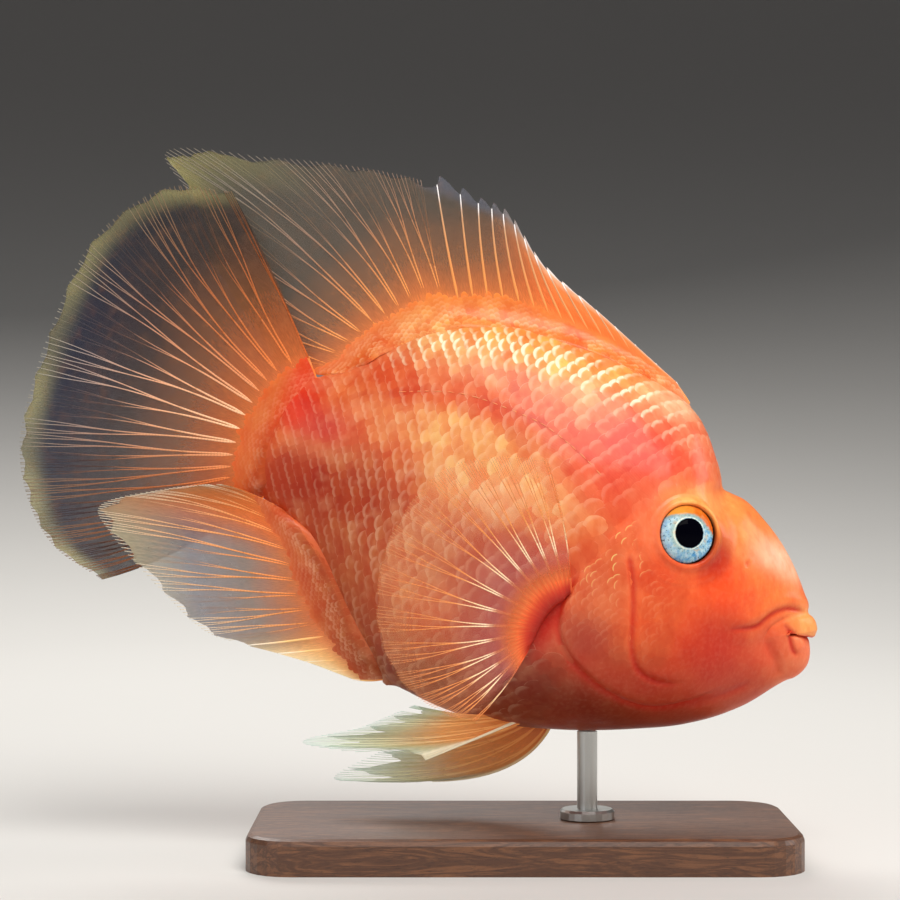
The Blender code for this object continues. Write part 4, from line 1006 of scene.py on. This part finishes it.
def build_lateral_line(side, side_name, ground, material):
    """A row of short pale ridges along the flank."""
    line = path(LATERAL_LINE, 400)
    run = distances(line)
    points, faces, centres = [], [], []
    start = 14.0
    while start < run[-1] - 3:
        length = random.uniform(1.0, 2.2)
        ts = np.linspace(start, start + length, 6)
        x, z = np.interp(ts, run, line[:, 0]), np.interp(ts, run, line[:, 1])
        spots = np.array([(a, side * ground.out(a, b, side), b) for a, b in zip(x, z)])
        base, up = ground.nearest(spots)
        over = np.cross(up, unit(np.gradient(base, axis=0)))
        swell = 0.14 * np.sin(np.linspace(0.25, math.pi - 0.25, 6))[:, None]
        first = len(points)
        for turn in circle(6):
            points.extend(base + up * (0.17 + swell * math.cos(turn)) + over * swell * math.sin(turn))
            centres.extend([start / 160] * 6)
        for k in range(6):
            for m in range(5):
                a, b = first + 6 * k + m, first + 6 * ((k + 1) % 6) + m
                faces.append((a, b, b + 1, a + 1))
        start += length + random.uniform(0.5, 1.7)
    points = np.array(points)
    colour = np.tile(tone(252, 158, 104), (len(points), 1))
    uv = np.column_stack([centres, np.full(len(points), 0.30 if side < 0 else 0.80)]) + points[:, ::2] * 1e-5
    bare = {"crease": np.zeros(len(points))}
    piece = mesh_piece(f"lateral_line_{side_name}", points, faces, colour, bare, {"OFBake": uv})
    dress(piece, material, "skin")


# Fins

WEB_BOW = 0.012  # how far the web billows, as a share of the gap between two rays
FOOT_LIMIT = 1.75  # how much wider a rising foot gets inside the body than at its surface
SHEATH_FROM = -1.7  # where the scales over a fin's base start, under the body's own
SHEATH_STEP = 1.1  # and how far apart their rows are


class Fin:
    """A fin's middle surface, from its key rays and how far its rays stand sideways."""

    def __init__(self, keys, sideways, sink, dip):
        self.read, self.last, self.sideways = curve(keys), keys[-1][0], sideways
        self.sink, self.dip = sink, np.array(dip, float)

    def surface(self, number, t):
        """Points at a ray's number and a share of the way along it; below 0 they lie inside the body."""
        number, t = np.broadcast_arrays(np.asarray(number, float), np.asarray(t, float))
        keys = self.read(number)
        out = self.sideways(number / self.last)
        root, middle, tip = (
            np.stack([keys[..., 2 * k], out[k], keys[..., 2 * k + 1]], axis=-1) for k in range(3))
        bow = middle - (root + tip) / 2
        s = np.maximum(t, 0)[..., None]
        inward = unit(root - middle) * self.sink + self.dip
        return root + (tip - root) * s + 4 * bow * s * (1 - s) + inward * np.maximum(-t, 0)[..., None]

    def length(self, number):
        fine = self.surface(np.asarray(number)[..., None], np.linspace(0, 1, 12))
        return np.linalg.norm(np.diff(fine, axis=-2), axis=-1).sum(-1)


class Parts:
    """Points, faces and values of pieces that become one fin."""

    def __init__(self):
        self.columns, self.faces, self.count = [], [], 0

    def add(self, points, faces, colour, body, ray, joint, place):
        count = len(points)
        single = [np.broadcast_to(value, count)[:, None] for value in (body, ray, joint)]
        self.columns.append(np.column_stack([points, colour, *single, place]))
        self.faces += [tuple(k + self.count for k in face) for face in faces]
        self.count += count

    def piece(self, name):
        table = np.concatenate(self.columns)
        numbers = {"body": table[:, 6], "ray": table[:, 7], "joint": table[:, 8]}
        return mesh_piece(name, table[:, :3], self.faces, table[:, 3:6], numbers, {"Fin": table[:, 9:11]})


def web(fin, parts, look, flesh, rising, notch, rows, fill, spines, skin_share):
    """The thin skin between the rays; gives back the ground on either side of it."""
    columns = fin.last * fill + 1
    number = np.linspace(0, fin.last, columns)
    between = np.abs(number - np.round(number)) * 2
    edge = 1 - notch * between ** 0.8 - random.uniform(0, notch * 0.25, columns)
    behind = number % 1  # between spines the skin rises behind each into a flap over the next
    flap = 1 + 0.07 * ease(number, 2, 8) * ease(behind, 0, 0.8) * (1 - ease(behind, 0.87, 1.0))
    edge = np.where(number < spines - 1, flap, edge)
    t = np.concatenate([[-1.0, -0.75, -0.5, -0.25], np.linspace(0, 1, rows)])
    numbers, ts = np.meshgrid(number, t, indexing="ij")
    ts = np.where(ts > 0, ts * edge[:, None], ts)
    grid = fin.surface(numbers, ts)
    across, ahead = np.gradient(grid, axis=0), np.gradient(grid, axis=1)
    normal = unit(np.cross(across, ahead))
    out = np.maximum(ts, 0) * fin.length(number)[:, None]
    gap = np.linalg.norm(across, axis=2) * fill
    sign = np.where(np.floor(numbers) % 2 == 0, 1.0, -1.0)
    billow = WEB_BOW * sign * np.sin(np.pi * (numbers % 1)) * gap * ease(out, 3, 12)
    grid = grid + normal * billow[..., None]
    ends = ease(numbers, 0, 2) * ease(fin.last - numbers, 0, 2)
    foot = bump(out, flesh[1])
    if rising:  # the foot widens on its way in, so that the back runs up into the fin with no crease
        foot = np.minimum(np.exp(-(out + np.minimum(ts, 0) * fin.sink) / flesh[1]), FOOT_LIMIT)
    thick = 0.16 + 0.10 * (1 - ease(out, 0, 20)) + flesh[0] * foot * (0.2 + 0.8 * ends)
    thick = np.where(ts >= edge[:, None] - 1e-6, 0.05, thick)[..., None] / 2
    colour, body = look(numbers / fin.last, ts, out, np.zeros_like(out), numbers)
    skin = skin_share * (1 - ease(out, 1.0, 9.0))[..., None]  # the body's own tones run out over its base
    colour = colour * (1 - skin) + skin * marking(grid)
    high, count = len(t), columns * len(t)
    top, low = (grid + normal * thick).reshape(-1, 3), (grid - normal * thick).reshape(-1, 3)
    upper, lower = grid_faces(columns, high, flip=True), grid_faces(columns, high)
    rim = [c * high for c in range(columns)] + [(columns - 1) * high + r for r in range(1, high)]
    rim += [c * high + high - 1 for c in range(columns - 2, -1, -1)] + list(range(high - 2, 0, -1))
    walls = [(a, b, b + count, a + count) for a, b in zip(rim, rim[1:] + rim[:1])]
    faces = upper + [tuple(k + count for k in face) for face in lower] + walls
    place = np.column_stack([numbers.ravel(), out.ravel() / 10])
    parts.add(np.concatenate([top, low]), faces, np.tile(colour.reshape(-1, 3), (2, 1)),
              np.tile(body.ravel(), 2), 0.0, 0.0, np.tile(place, (2, 1)))
    return Ground(top, upper), Ground(low, lower)


def ray_tube(fin, parts, look, numbers, ts, radii, jointed=1.0):
    """One branch of a ray: a slender tube that follows the web."""
    line = fin.surface(numbers, ts)
    near = (fin.surface(np.clip(numbers + 0.05, 0, fin.last), ts)
            - fin.surface(np.clip(numbers - 0.05, 0, fin.last), ts))
    ahead = np.gradient(line, axis=0)
    face = unit(np.cross(near, ahead))
    flat = unit(np.cross(ahead, face))
    sides, count = 6, len(line)
    turn = circle(sides)
    ring = face[:, None] * np.cos(turn)[None, :, None] + flat[:, None] * np.sin(turn)[None, :, None]
    points = (line[:, None] + ring * radii[:, None, None]).reshape(-1, 3)
    faces = grid_faces(count, sides, closed=True)
    faces += [tuple(range(sides))[::-1], tuple((count - 1) * sides + s for s in range(sides))]
    out = distances(line) + float(fin.length(numbers[:1])[0]) * max(ts[0], 0)
    colour, body = look(numbers / fin.last, ts, out, np.ones_like(ts), numbers)
    joint = jointed * out * 2 * math.pi / 0.8 * ease(out, 5, 6)
    parts.add(points, faces, np.repeat(colour, sides, axis=0), np.repeat(body, sides), 1.0,
              np.repeat(joint, sides), np.repeat(np.column_stack([numbers, out / 10]), sides, axis=0))


def soft_ray(fin, parts, look, ray, ray_size, spread, jointed):
    """A ray that splits in two, in four and in eight on its way to the edge."""
    thin, fine = ray_size
    jitter = random.uniform(-0.03, 0.03, 2)
    levels = ((-0.5, 0.10, 1), (0.10, 0.36 + jitter[0], 2), (0.36 + jitter[0], 0.64 + jitter[1], 4),
              (0.64 + jitter[1], 1.0, 8))
    for start, end, branches in levels:
        ts = np.linspace(start, end, 11)
        s = np.maximum(ts, 0)
        for branch in range(branches):
            away = np.zeros_like(ts)
            if branches > 1:
                first = 0.07 * ease(s, 0.10, 0.18) + 0.18 * ease(s, 0.2, 0.7)
                away = (1 if branch >= branches // 2 else -1) * first
            if branches > 2:
                away = away + (1 if (branch * 4 // branches) % 2 else -1) * 0.12 * ease(s, levels[2][0], 0.88)
            if branches > 4:
                away = away + (1 if branch % 2 else -1) * 0.06 * ease(s, levels[3][0], 1.0)
            away = away * spread
            if ray in (0, fin.last):
                away = np.abs(away) * (0.5 if ray == 0 else -0.5)
            radii = (thin + (fine - thin) * s) * {1: 1.0, 2: 0.74, 4: 0.62, 8: 0.56}[branches]
            ray_tube(fin, parts, look, np.clip(ray + away, 0, fin.last), ts, radii, jointed)


def sheath(fin, name, grounds, reach, clear, scale_finish, colour_at):
    """Small scales that run out from the body over a fin's base."""
    lengths = fin.length(np.arange(fin.last + 1))
    for ground, half in zip(grounds, ("right", "left")):
        rows, number, column = [], 0.1, 0
        while number < fin.last - 0.1:
            here = fin.surface(number, 0.05)
            width = np.linalg.norm(fin.surface(min(number + 0.5, fin.last), 0.05) - here) * 2
            far = reach(number / fin.last) + random.uniform(-0.8, 0.8)
            column += 1
            for out in np.arange(SHEATH_FROM + SHEATH_STEP / 2 * (column % 2), far, SHEATH_STEP):
                t = out / np.interp(number, np.arange(fin.last + 1), lengths)
                spot, ahead = fin.surface(number, max(t, 0)), fin.surface(number, max(t, 0) + 0.03)
                spot = spot + (ahead - spot) / 0.03 * min(t, 0)
                spot = ground.seen(spot[0], spot[2], 1) or spot
                bold = clear * (1 - 0.85 * max(out, 0) / far)
                size = 2.0 - 0.09 * out, 2.2 - 0.05 * out
                rows.append((*spot, *(ahead - spot), *size, bold, number / 40, out / 200))
            number += 1.2 / max(width, 0.5)
        rows = np.array(rows)
        places = rows[:, 9:11] + (0.05, 0.45 if half == "left" else 0.0)
        laid = rows[:, :3], rows[:, 3:6], rows[:, 6:8], rows[:, 8], places
        build_scales(f"{name}_scales_{half}", laid, ground, scale_finish, colour_at)


def build_fin(name, keys, sideways, look, node, finishes, spines=0, flesh=(1.4, 4.5), sink=3.0,
              dip=(0, 0, 0), notch=0.045, ray_size=(0.40, 0.15), rows=46, fill=8, spread=1.0,
              skin_share=0.7, jointed=1.0, rising=False):
    """A fin: a thin web, and over it rays that branch towards the edge, or single spines at its front.

    flesh is how thick the fin is at its root and how far out that reaches, sink how deep the root lies in the
    body, dip its lean there, notch how far the edge draws in between rays, and ray_size how thick rays are at
    root and tip. A rising fin's foot widens on its way into the body.
    """
    fin, skin, rays = Fin(keys, sideways, sink, dip), Parts(), Parts()
    grounds = web(fin, skin, look, flesh, rising, notch, rows, fill, spines, skin_share)
    for ray in range(fin.last + 1):
        if ray < spines:
            ts = np.linspace(-0.5, 1.0, 24)
            radii = ray_size[0] * 1.2 * (1 - 0.70 * np.maximum(ts, 0) ** 1.3)
            ray_tube(fin, rays, look, np.full(24, float(ray)), ts, radii, 0.0)
        else:
            soft_ray(fin, rays, look, ray, ray_size, spread, jointed)
    dress(skin.piece(name), finishes[0], "fins", node)
    dress(rays.piece(f"{name}_rays"), finishes[1], "fins")
    return fin, grounds


def blend_tones(value, *stops):
    """Colour and density at values between stops: a place, red, green and blue on screen, and a density."""
    at = np.array([stop[0] for stop in stops])
    rows = np.array([(*tone(*stop[1:4]), stop[4]) for stop in stops])
    found = read_columns(value, at, rows)
    return found[..., :3], found[..., 3]


def mixed(first, second, share):
    share = np.clip(share, 0, 1)
    return (first[0] * (1 - share[..., None]) + second[0] * share[..., None],
            first[1] * (1 - share) + second[1] * share)


def washed(look, tint, density, share):
    """A look part of the way to one tint, at a share of its density."""
    colour, body = look
    return mixed(look, (np.broadcast_to(tone(*tint), colour.shape), body * density), share)


def dorsal_look(share, t, out, ray, number):
    rear = blend_tones(out, (0, 250, 140, 62, 1), (4, 240, 130, 58, 0.9), (8, 206, 116, 60, 0.7),
                       (16, 150, 100, 66, 0.56), (30, 96, 84, 72, 0.52), (60, 92, 88, 78, 0.46))
    front = blend_tones(t, (0, 250, 140, 60, 1), (0.4, 248, 112, 40, 0.92), (0.8, 250, 136, 66, 0.85),
                        (0.97, 246, 190, 150, 0.8), (1.0, 250, 236, 230, 0.85))
    membrane = mixed(front, rear, ease(share, 0.24, 0.50))
    flap = ease(t, 0.90, 1.0) * (1 - ease(number, 15.4, 16.0)) * ease(share, 0.3, 0.5)
    membrane = washed(membrane, (104, 108, 122), 0.75, flap * 0.8)
    lobe = ease(share, 0.70, 0.84) * ease(t, 0.70, 0.98)
    membrane = washed(membrane, (170, 162, 100), 0.80, lobe)
    rays = blend_tones(out, (0, 250, 150, 66, 1), (8, 246, 160, 84, 1), (18, 206, 136, 84, 0.95),
                       (34, 150, 118, 98, 0.9), (60, 140, 130, 116, 0.75))
    spine = blend_tones(t, (0, 250, 150, 66, 1), (0.5, 226, 150, 88, 1), (0.86, 206, 160, 120, 1),
                        (0.94, 252, 246, 244, 1), (1.0, 255, 252, 250, 1))
    rays = mixed(spine, rays, ease(number, 15.4, 15.6))
    return mixed(membrane, rays, ray)


def caudal_look(share, t, out, ray, number):
    # The outer web is painted dark, brown to navy: painted shade that stands in for a dark background seen
    # through the web
    middle = blend_tones(out, (0, 236, 112, 44, 1), (4, 216, 116, 52, 0.9), (10, 190, 98, 44, 0.74),
                         (22, 128, 76, 42, 0.6), (36, 60, 44, 42, 0.6), (54, 34, 36, 56, 0.68),
                         (70, 56, 60, 74, 0.62))
    upper = blend_tones(out, (0, 236, 112, 44, 1), (8, 196, 100, 46, 0.74), (26, 124, 74, 42, 0.6),
                        (42, 58, 46, 42, 0.62), (58, 44, 42, 46, 0.62), (72, 90, 88, 70, 0.55))
    membrane = mixed(upper, middle, ease(share, 0.10, 0.42))
    patchy = 0.30 + 0.35 * np.sin(5 * np.pi * share) ** 2 + 0.15 * ease(share, 0.35, 0.75)
    membrane = washed(membrane, (176, 168, 112), 0.7, ease(t, 0.88, 0.99) * patchy)
    rays = blend_tones(out, (0, 244, 132, 54, 1), (8, 232, 128, 62, 1), (24, 190, 104, 50, 1),
                       (44, 140, 90, 58, 1), (66, 128, 116, 92, 1))
    bright = blend_tones(out, (0, 246, 150, 76, 1), (8, 255, 206, 160, 1), (30, 236, 176, 136, 1),
                         (50, 166, 146, 138, 1), (66, 168, 168, 150, 1))
    rays = mixed(rays, bright, bump(number - 6.8, 2.4))
    return mixed(membrane, rays, ray)


def anal_look(share, t, out, ray, number):
    middle = blend_tones(out, (0, 206, 84, 40, 1), (4, 218, 108, 52, 0.92), (10, 190, 112, 66, 0.76),
                         (20, 136, 118, 108, 0.64), (34, 128, 128, 136, 0.58), (50, 176, 168, 140, 0.5))
    front = blend_tones(t, (0, 226, 128, 74, 1), (0.5, 240, 184, 116, 0.88), (1.0, 250, 226, 176, 0.85))
    rear = blend_tones(t, (0, 222, 98, 42, 1), (0.5, 222, 116, 48, 0.84), (1.0, 190, 124, 66, 0.6))
    membrane = mixed(front, middle, ease(share, 0.15, 0.38))
    membrane = mixed(membrane, rear, ease(share, 0.62, 0.86))
    rays = blend_tones(t, (0, 240, 130, 62, 1), (0.4, 242, 156, 86, 1), (0.8, 222, 178, 138, 0.95),
                       (1.0, 226, 214, 190, 0.85))
    spine = blend_tones(t, (0, 242, 150, 84, 1), (0.6, 250, 204, 132, 1), (1.0, 255, 248, 232, 1))
    rays = mixed(spine, rays, ease(number, 4.4, 4.6))
    return mixed(membrane, rays, ray)


def pectoral_look(share, t, out, ray, number):
    membrane = blend_tones(out, (0, 176, 34, 22, 1), (1.6, 206, 48, 24, 1), (3.4, 240, 98, 42, 0.85),
                           (5.6, 236, 122, 70, 0.4), (9, 206, 116, 112, 0.2), (20, 230, 140, 100, 0.1),
                           (48, 244, 176, 124, 0.1))
    ridge = (0.5 + 0.5 * np.cos(4 * np.pi * number + np.sin(2.7 * number))) * bump(out - 4.4, 1.9)
    membrane = washed(membrane, (250, 150, 84), 1, 0.5 * ridge)
    membrane = membrane[0], membrane[1] * (1 - 0.9 * ease(share, 0.93, 1.0) * ease(out, 4, 10))
    # Rays are palest and densest 11 to 17 mm out: painted highlight along them
    rays = blend_tones(out, (0, 206, 50, 20, 1), (3.5, 240, 108, 50, 0.7), (6.5, 240, 134, 80, 0.26),
                       (9.5, 246, 164, 110, 0.3), (11.5, 255, 232, 196, 1), (16, 255, 224, 176, 1),
                       (19, 252, 172, 100, 0.66), (30, 250, 160, 88, 0.42), (50, 252, 176, 108, 0.22))
    return mixed(membrane, rays, ray)


def pelvic_look(lead):
    def look(share, t, out, ray, number):
        membrane = blend_tones(t, (0, 206, 98, 52, 1), (0.25, 230, 132, 60, 0.92), (0.55, 232, 158, 84, 0.8),
                               (0.78, 196, 190, 142, 0.6), (1.0, 176, 206, 196, 0.45))
        rays = blend_tones(t, (0, 232, 134, 66, 1), (0.5, 240, 174, 102, 1), (0.78, 214, 210, 168, 1),
                           (1.0, 206, 226, 214, 1))
        spine = blend_tones(t, (0, *lead, 1), (1.0, 236, 228, 196, 1))
        return mixed(mixed(membrane, rays, ray), spine, 1 - ease(number, 0.10, 0.32))
    return look


def swing(reach, begin):
    """Sideways places of rays that swing out to one side the further back they stand in their fin."""
    def sideways(share):
        sway = reach * (np.maximum(0, share - begin) / (1 - begin)) ** 1.2
        return 0.1 * sway, 0.65 * sway, sway
    return sideways


def caudal_swing(share):
    sway = -CAUDAL_SWAY * np.sin(2.4 * (1 - 2 * share))
    return 0 * sway, 0.6 * sway, sway


def build_fins(ground, scale_finish):
    web_finish, ray_finish = fin_material("fin_web", True), fin_material("fin_rays", False)
    finishes = web_finish, ray_finish

    def under_back(spots):
        return 0.6 * marking(spots) + 0.4 * tone(252, 142, 62)

    def over_belly(spots):
        return 0.75 * marking(spots) + 0.25 * tone(214, 104, 52)

    def over_tail(spots):
        high = ease(spots[:, 2], -6, 6)[:, None]
        far = ease(-spots[:, 0], 1.0, 7.5)[:, None]
        base = tone(180, 66, 26) * (1 - high) + tone(236, 76, 34) * high
        return base * (1 - far) + far * tone(230, 108, 46)

    def reach_up(share):
        return 3.4 + 2.6 * ease(share, 0.2, 0.5)

    def reach_down(share):
        return 3.6 + 3.2 * ease(share, 0.15, 0.6)

    def reach_back(share):
        return 6.4 - 2.5 * np.abs(share - 0.5)

    fin, sides = build_fin("back_fin", DORSAL, swing(DORSAL_SWAY, 0.45), dorsal_look, "dorsal_fin", finishes,
                           spines=16, flesh=(4.4, 3.0), rising=True)
    sheath(fin, "back_fin", sides, reach_up, 0.9, scale_finish, under_back)
    fin, sides = build_fin("belly_fin", ANAL, swing(ANAL_SWAY, 0.25), anal_look, "anal_fin", finishes,
                           spines=5, flesh=(3.2, 3.4), sink=7.0, notch=0.05, rising=True)
    sheath(fin, "belly_fin", sides, reach_down, 0.75, scale_finish, over_belly)
    fin, sides = build_fin("tail_fan", CAUDAL, caudal_swing, caudal_look, "tail_fin", finishes,
                           flesh=(3.0, 5.0), sink=5.0, notch=0.02, ray_size=(0.44, 0.17), rows=56, fill=9,
                           spread=1.1)
    sheath(fin, "tail_fan", sides, reach_back, 0.45, scale_finish, over_tail)
    for side, side_name in SIDES:
        roots, stand = curve(PECTORAL), PECTORAL_STAND[side]
        shares = np.linspace(0, 1, 15)
        flank = curve([(share, ground.out(*roots(share * PECTORAL[-1][0])[:2], side)) for share in shares])

        def beside(share, side=side, flank=flank, stand=stand):
            bulge = 1 + 0.25 * np.sin(np.pi * share)
            return tuple(side * (flank(share) + stand[k] * (1 if k == 0 else bulge)) for k in range(3))

        build_fin(f"breast_fin_{side_name}", PECTORAL, beside, pectoral_look, f"pectoral_fin_{side_name}",
                  (web_finish, web_finish), flesh=(1.9, 3.0), sink=PECTORAL_PAD,
                  dip=(0, -PECTORAL_DIP * side, 0), notch=0.02, skin_share=0.0, ray_size=(0.30, 0.11),
                  spread=0.8)

        def from_middle(share, side=side):
            return tuple(side * value + 0 * share for value in PELVIC_FROM_MIDDLE[side])

        lead = (246, 222, 186) if side < 0 else (226, 170, 100)
        build_fin(f"hip_fin_{side_name}", PELVIC[side], from_middle, pelvic_look(lead),
                  f"pelvic_fin_{side_name}", finishes, spines=1, flesh=(1.2, 3.0), notch=0.15,
                  ray_size=(0.38, 0.15), jointed=0.0)


# Eyes

def eye_frame(side):
    """Matrix in the fish's frame of one eye: x to its front, y up and z out, for either side."""
    place = Matrix.Translation((EYE[0], side * (EYE_OUT - EYE_SUNK), EYE[1]))
    turned = (place @ Matrix.Rotation(math.radians(-side * EYE_FORWARD), 4, "Z")
              @ Matrix.Rotation(math.radians(side * EYE_UP), 4, "X"))
    return turned @ Matrix(((1, 0, 0, 0), (0, 0, side, 0), (0, 1, 0, 0), (0, 0, 0, 1)))


def in_eye(side, ring, height, angle):
    """Points in the fish's frame from a radius, a height and an angle round one eye."""
    local = np.stack([ring * np.cos(angle), ring * np.sin(angle), height, np.ones_like(ring)], axis=-1)
    return (local @ np.array(eye_frame(side)).T)[..., :3]


def turned_from(start, angles):
    """How far round from one angle others lie, between minus and plus half a turn, in one column."""
    return np.angle(np.exp(1j * (angles.ravel()[:, None] - start)))


LID = [(6.7, -1.2), (7.15, -0.25), (7.32, 0.25), (7.55, 0.62), (7.9, 0.85), (8.35, 0.86), (8.8, 0.62),
       (9.3, 0.30), (9.9, 0.06), (10.6, -0.05), (11.2, -0.22)]  # its section, as radius and height
LENS_RADIUS = 3.62


def build_eyes(ground, flesh):
    glassy = eye_material()
    around = 96
    angle = circle(around)
    for side, side_name in SIDES:
        close = [LENS_RADIUS, 3.68, 3.76, 3.88]
        ring = np.concatenate([np.linspace(0.02, 3.55, 14), close, np.linspace(4.1, EYE_EDGE, 16)])
        dome = EYE_DEPTH * np.sqrt(np.clip(1 - (ring / EYE_RADIUS) ** 2, 0, 1))
        lens = np.where(ring < LENS_RADIUS, 0.30 * np.sqrt(np.clip(1 - (ring / 3.7) ** 2, 0, 1)) - 0.28, 0)
        lip = 0.10 * bump(ring - 3.86, 0.16)
        swell = 0.10 * bump(ring - 5.3, 1.1) - 0.14 * bump(ring - 7.2, 0.35)
        height = dome + lens + lip + swell
        rings, angles = np.meshgrid(ring, angle, indexing="ij")
        points = in_eye(side, rings, np.repeat(height[:, None], around, axis=1), angles)
        points[..., 0] -= PUPIL_BACK * (1 - (rings / EYE_EDGE) ** 2)
        turn = angles - NOSE_TURN
        uv = np.stack([rings * np.cos(turn), rings * np.sin(turn)], axis=-1) / EYE_SHOWN
        faces = grid_faces(len(ring), around, closed=True, flip=side < 0)
        cap = tuple(range(around))
        faces.append(cap if side < 0 else cap[::-1])
        eye = mesh_piece(f"eyeball_{side_name}", points, faces, maps={"Iris": uv})
        dress(eye, glassy, "eyes", f"eye_{side_name}")

        fine = curve([(k, *row) for k, row in enumerate(LID)])(np.linspace(0, len(LID) - 1, 34))
        rings, angles = np.meshgrid(fine[:, 0], angle, indexing="ij")
        flat = in_eye(side, rings, np.full(rings.shape, EYE_SUNK), angles).reshape(-1, 3)
        under, up = ground.nearest(flat)
        axis = np.array(eye_frame(side))[:3, 2]
        wide = rings.ravel()[:, None]
        follow = ease(wide, 7.6, 9.4)
        rise = np.repeat(fine[:, 1], around)[:, None]
        brow = 1 + 0.35 * bump(turned_from(1.2, angles), 0.9)
        lid_points = (flat * (1 - follow) + under * follow
                      + (axis * (1 - follow) + up * follow) * np.where(rise > 0, rise * brow, rise))
        # The lid's inner edge takes the crease colour and then dark brown: painted shade where the lid meets
        # the eye, partly its own dark edge
        shade = marking(lid_points, np.clip(0.75 * (1 - ease(wide[:, 0], 7.2, 7.6)), 0, 1))
        inner = (1 - ease(wide, 7.0, 7.5)) * 0.9
        shade = shade * (1 - inner) + inner * tone(70, 28, 16)
        warm = bump(turned_from(1.35, angles), 1.2) * bump(wide - 8.2, 1.3) * 0.6
        shade = shade * (1 - warm) + warm * tone(252, 176, 84)
        uv = np.stack([0.30 + rings * np.cos(angles) / 400, 0.25 + rings * np.sin(angles) / 400], axis=-1)
        faces = grid_faces(len(fine), around, closed=True, flip=side < 0)
        bare = {"crease": np.zeros(len(lid_points))}
        dress(mesh_piece(f"lid_{side_name}", lid_points, faces, shade, bare, {"OFBake": uv}), flesh, "skin")


# Stage

CAMERA_PLACE = (-0.01853, -0.64, 0.10344)
LIT_POINT = Vector((0, 0, 0.10))
LAMPS = [("key", (0.25, -0.70, 1.00), 0.7, 13.0, (1.0, 0.98, 0.95)),  # name, place, size, watts, tint
         ("fill", (-0.75, -0.70, 0.35), 0.9, 3.0, (0.93, 0.96, 1.0)),
         ("behind", (-0.20, 0.75, 0.80), 0.7, 8.0, (1.0, 0.98, 0.95)),
         ("brow", (0.80, 0.05, 0.42), 0.4, 2.4, (1.0, 0.97, 0.95))]


def build_floor():
    """A pale floor that curves up far behind."""
    bend = np.linspace(0.08, 1.5, 24)
    radii = np.concatenate([[0.001], np.linspace(0.1, 0.55, 8), 0.55 + 1.5 * np.sin(bend), [2.06]])
    rise = np.concatenate([[0.0] * 9, 1.5 - 1.5 * np.cos(bend), [2.6]])
    rings, angles = np.meshgrid(radii, circle(96), indexing="ij")
    heights = np.repeat(rise[:, None], 96, axis=1)
    points = np.stack([rings * np.cos(angles), rings * np.sin(angles), heights], axis=-1)
    floor = mesh_piece("floor", points, grid_faces(len(radii), 96, closed=True), placed=True)
    paint = Paint("pale_floor", Specular_IOR_Level=0.2)
    place = paint.node("TexCoord", output="Object")
    away = paint.node("VectorMath", {"operation": "LENGTH"}, {0: place}, "Value")
    shade = paint.mix(away.ease(0.45, 1.7), tone(214, 212, 208), tone(112, 110, 108))
    paint.set(Base_Color=shade, Roughness=0.75 + paint.noise(60, 3) * 0.1)
    floor.data.materials.append(paint.material)


def build_lights():
    for name, place, size, watts, tint in LAMPS:
        lamp = bpy.data.lights.new(name, "AREA")
        lamp.energy, lamp.size, lamp.color = watts, size, tint
        light = linked(name, lamp)
        light.location = place
        light.rotation_euler = (LIT_POINT - Vector(place)).to_track_quat("-Z", "Y").to_euler()
    world = bpy.data.worlds.new("room")
    world.use_nodes = True
    sky = world.node_tree.nodes["Background"].inputs
    sky["Color"].default_value = (0.9, 0.93, 1.0, 1)
    sky["Strength"].default_value = 0.25
    bpy.context.scene.world = world


def build_camera():
    lens = bpy.data.cameras.new("camera")
    lens.lens, lens.sensor_width = 100, 36
    camera = linked("camera", lens)
    camera.location = CAMERA_PLACE
    camera.rotation_euler = (math.radians(90), 0, 0)
    bpy.context.scene.camera = camera
    bpy.context.scene.view_settings.view_transform = "Standard"


def main():
    build_floor()
    build_lights()
    build_camera()
    skin_finish = flesh_material("wet_skin", False)
    scale_finish = flesh_material("wet_scales", True)
    ground = build_skin(skin_finish)
    for side, side_name in SIDES:
        laid = lay_scales(side, -4.9, 112, 1.0, boldness)
        build_scales(f"scales_{side_name}", laid, ground, scale_finish)
        laid = lay_scales(side, 76, 110, 0.55, face_boldness)
        build_scales(f"face_scales_{side_name}", laid, ground, scale_finish)
        build_lateral_line(side, side_name, ground, skin_finish)
    build_eyes(ground, skin_finish)
    build_fins(ground, scale_finish)
    for node, finish in (("stand_base", walnut_material()), ("stand_rod", steel_material())):
        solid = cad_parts[node]
        solid.data.materials.clear()
        solid.data.materials.append(finish)
    bpy.context.view_layer.update()


main()
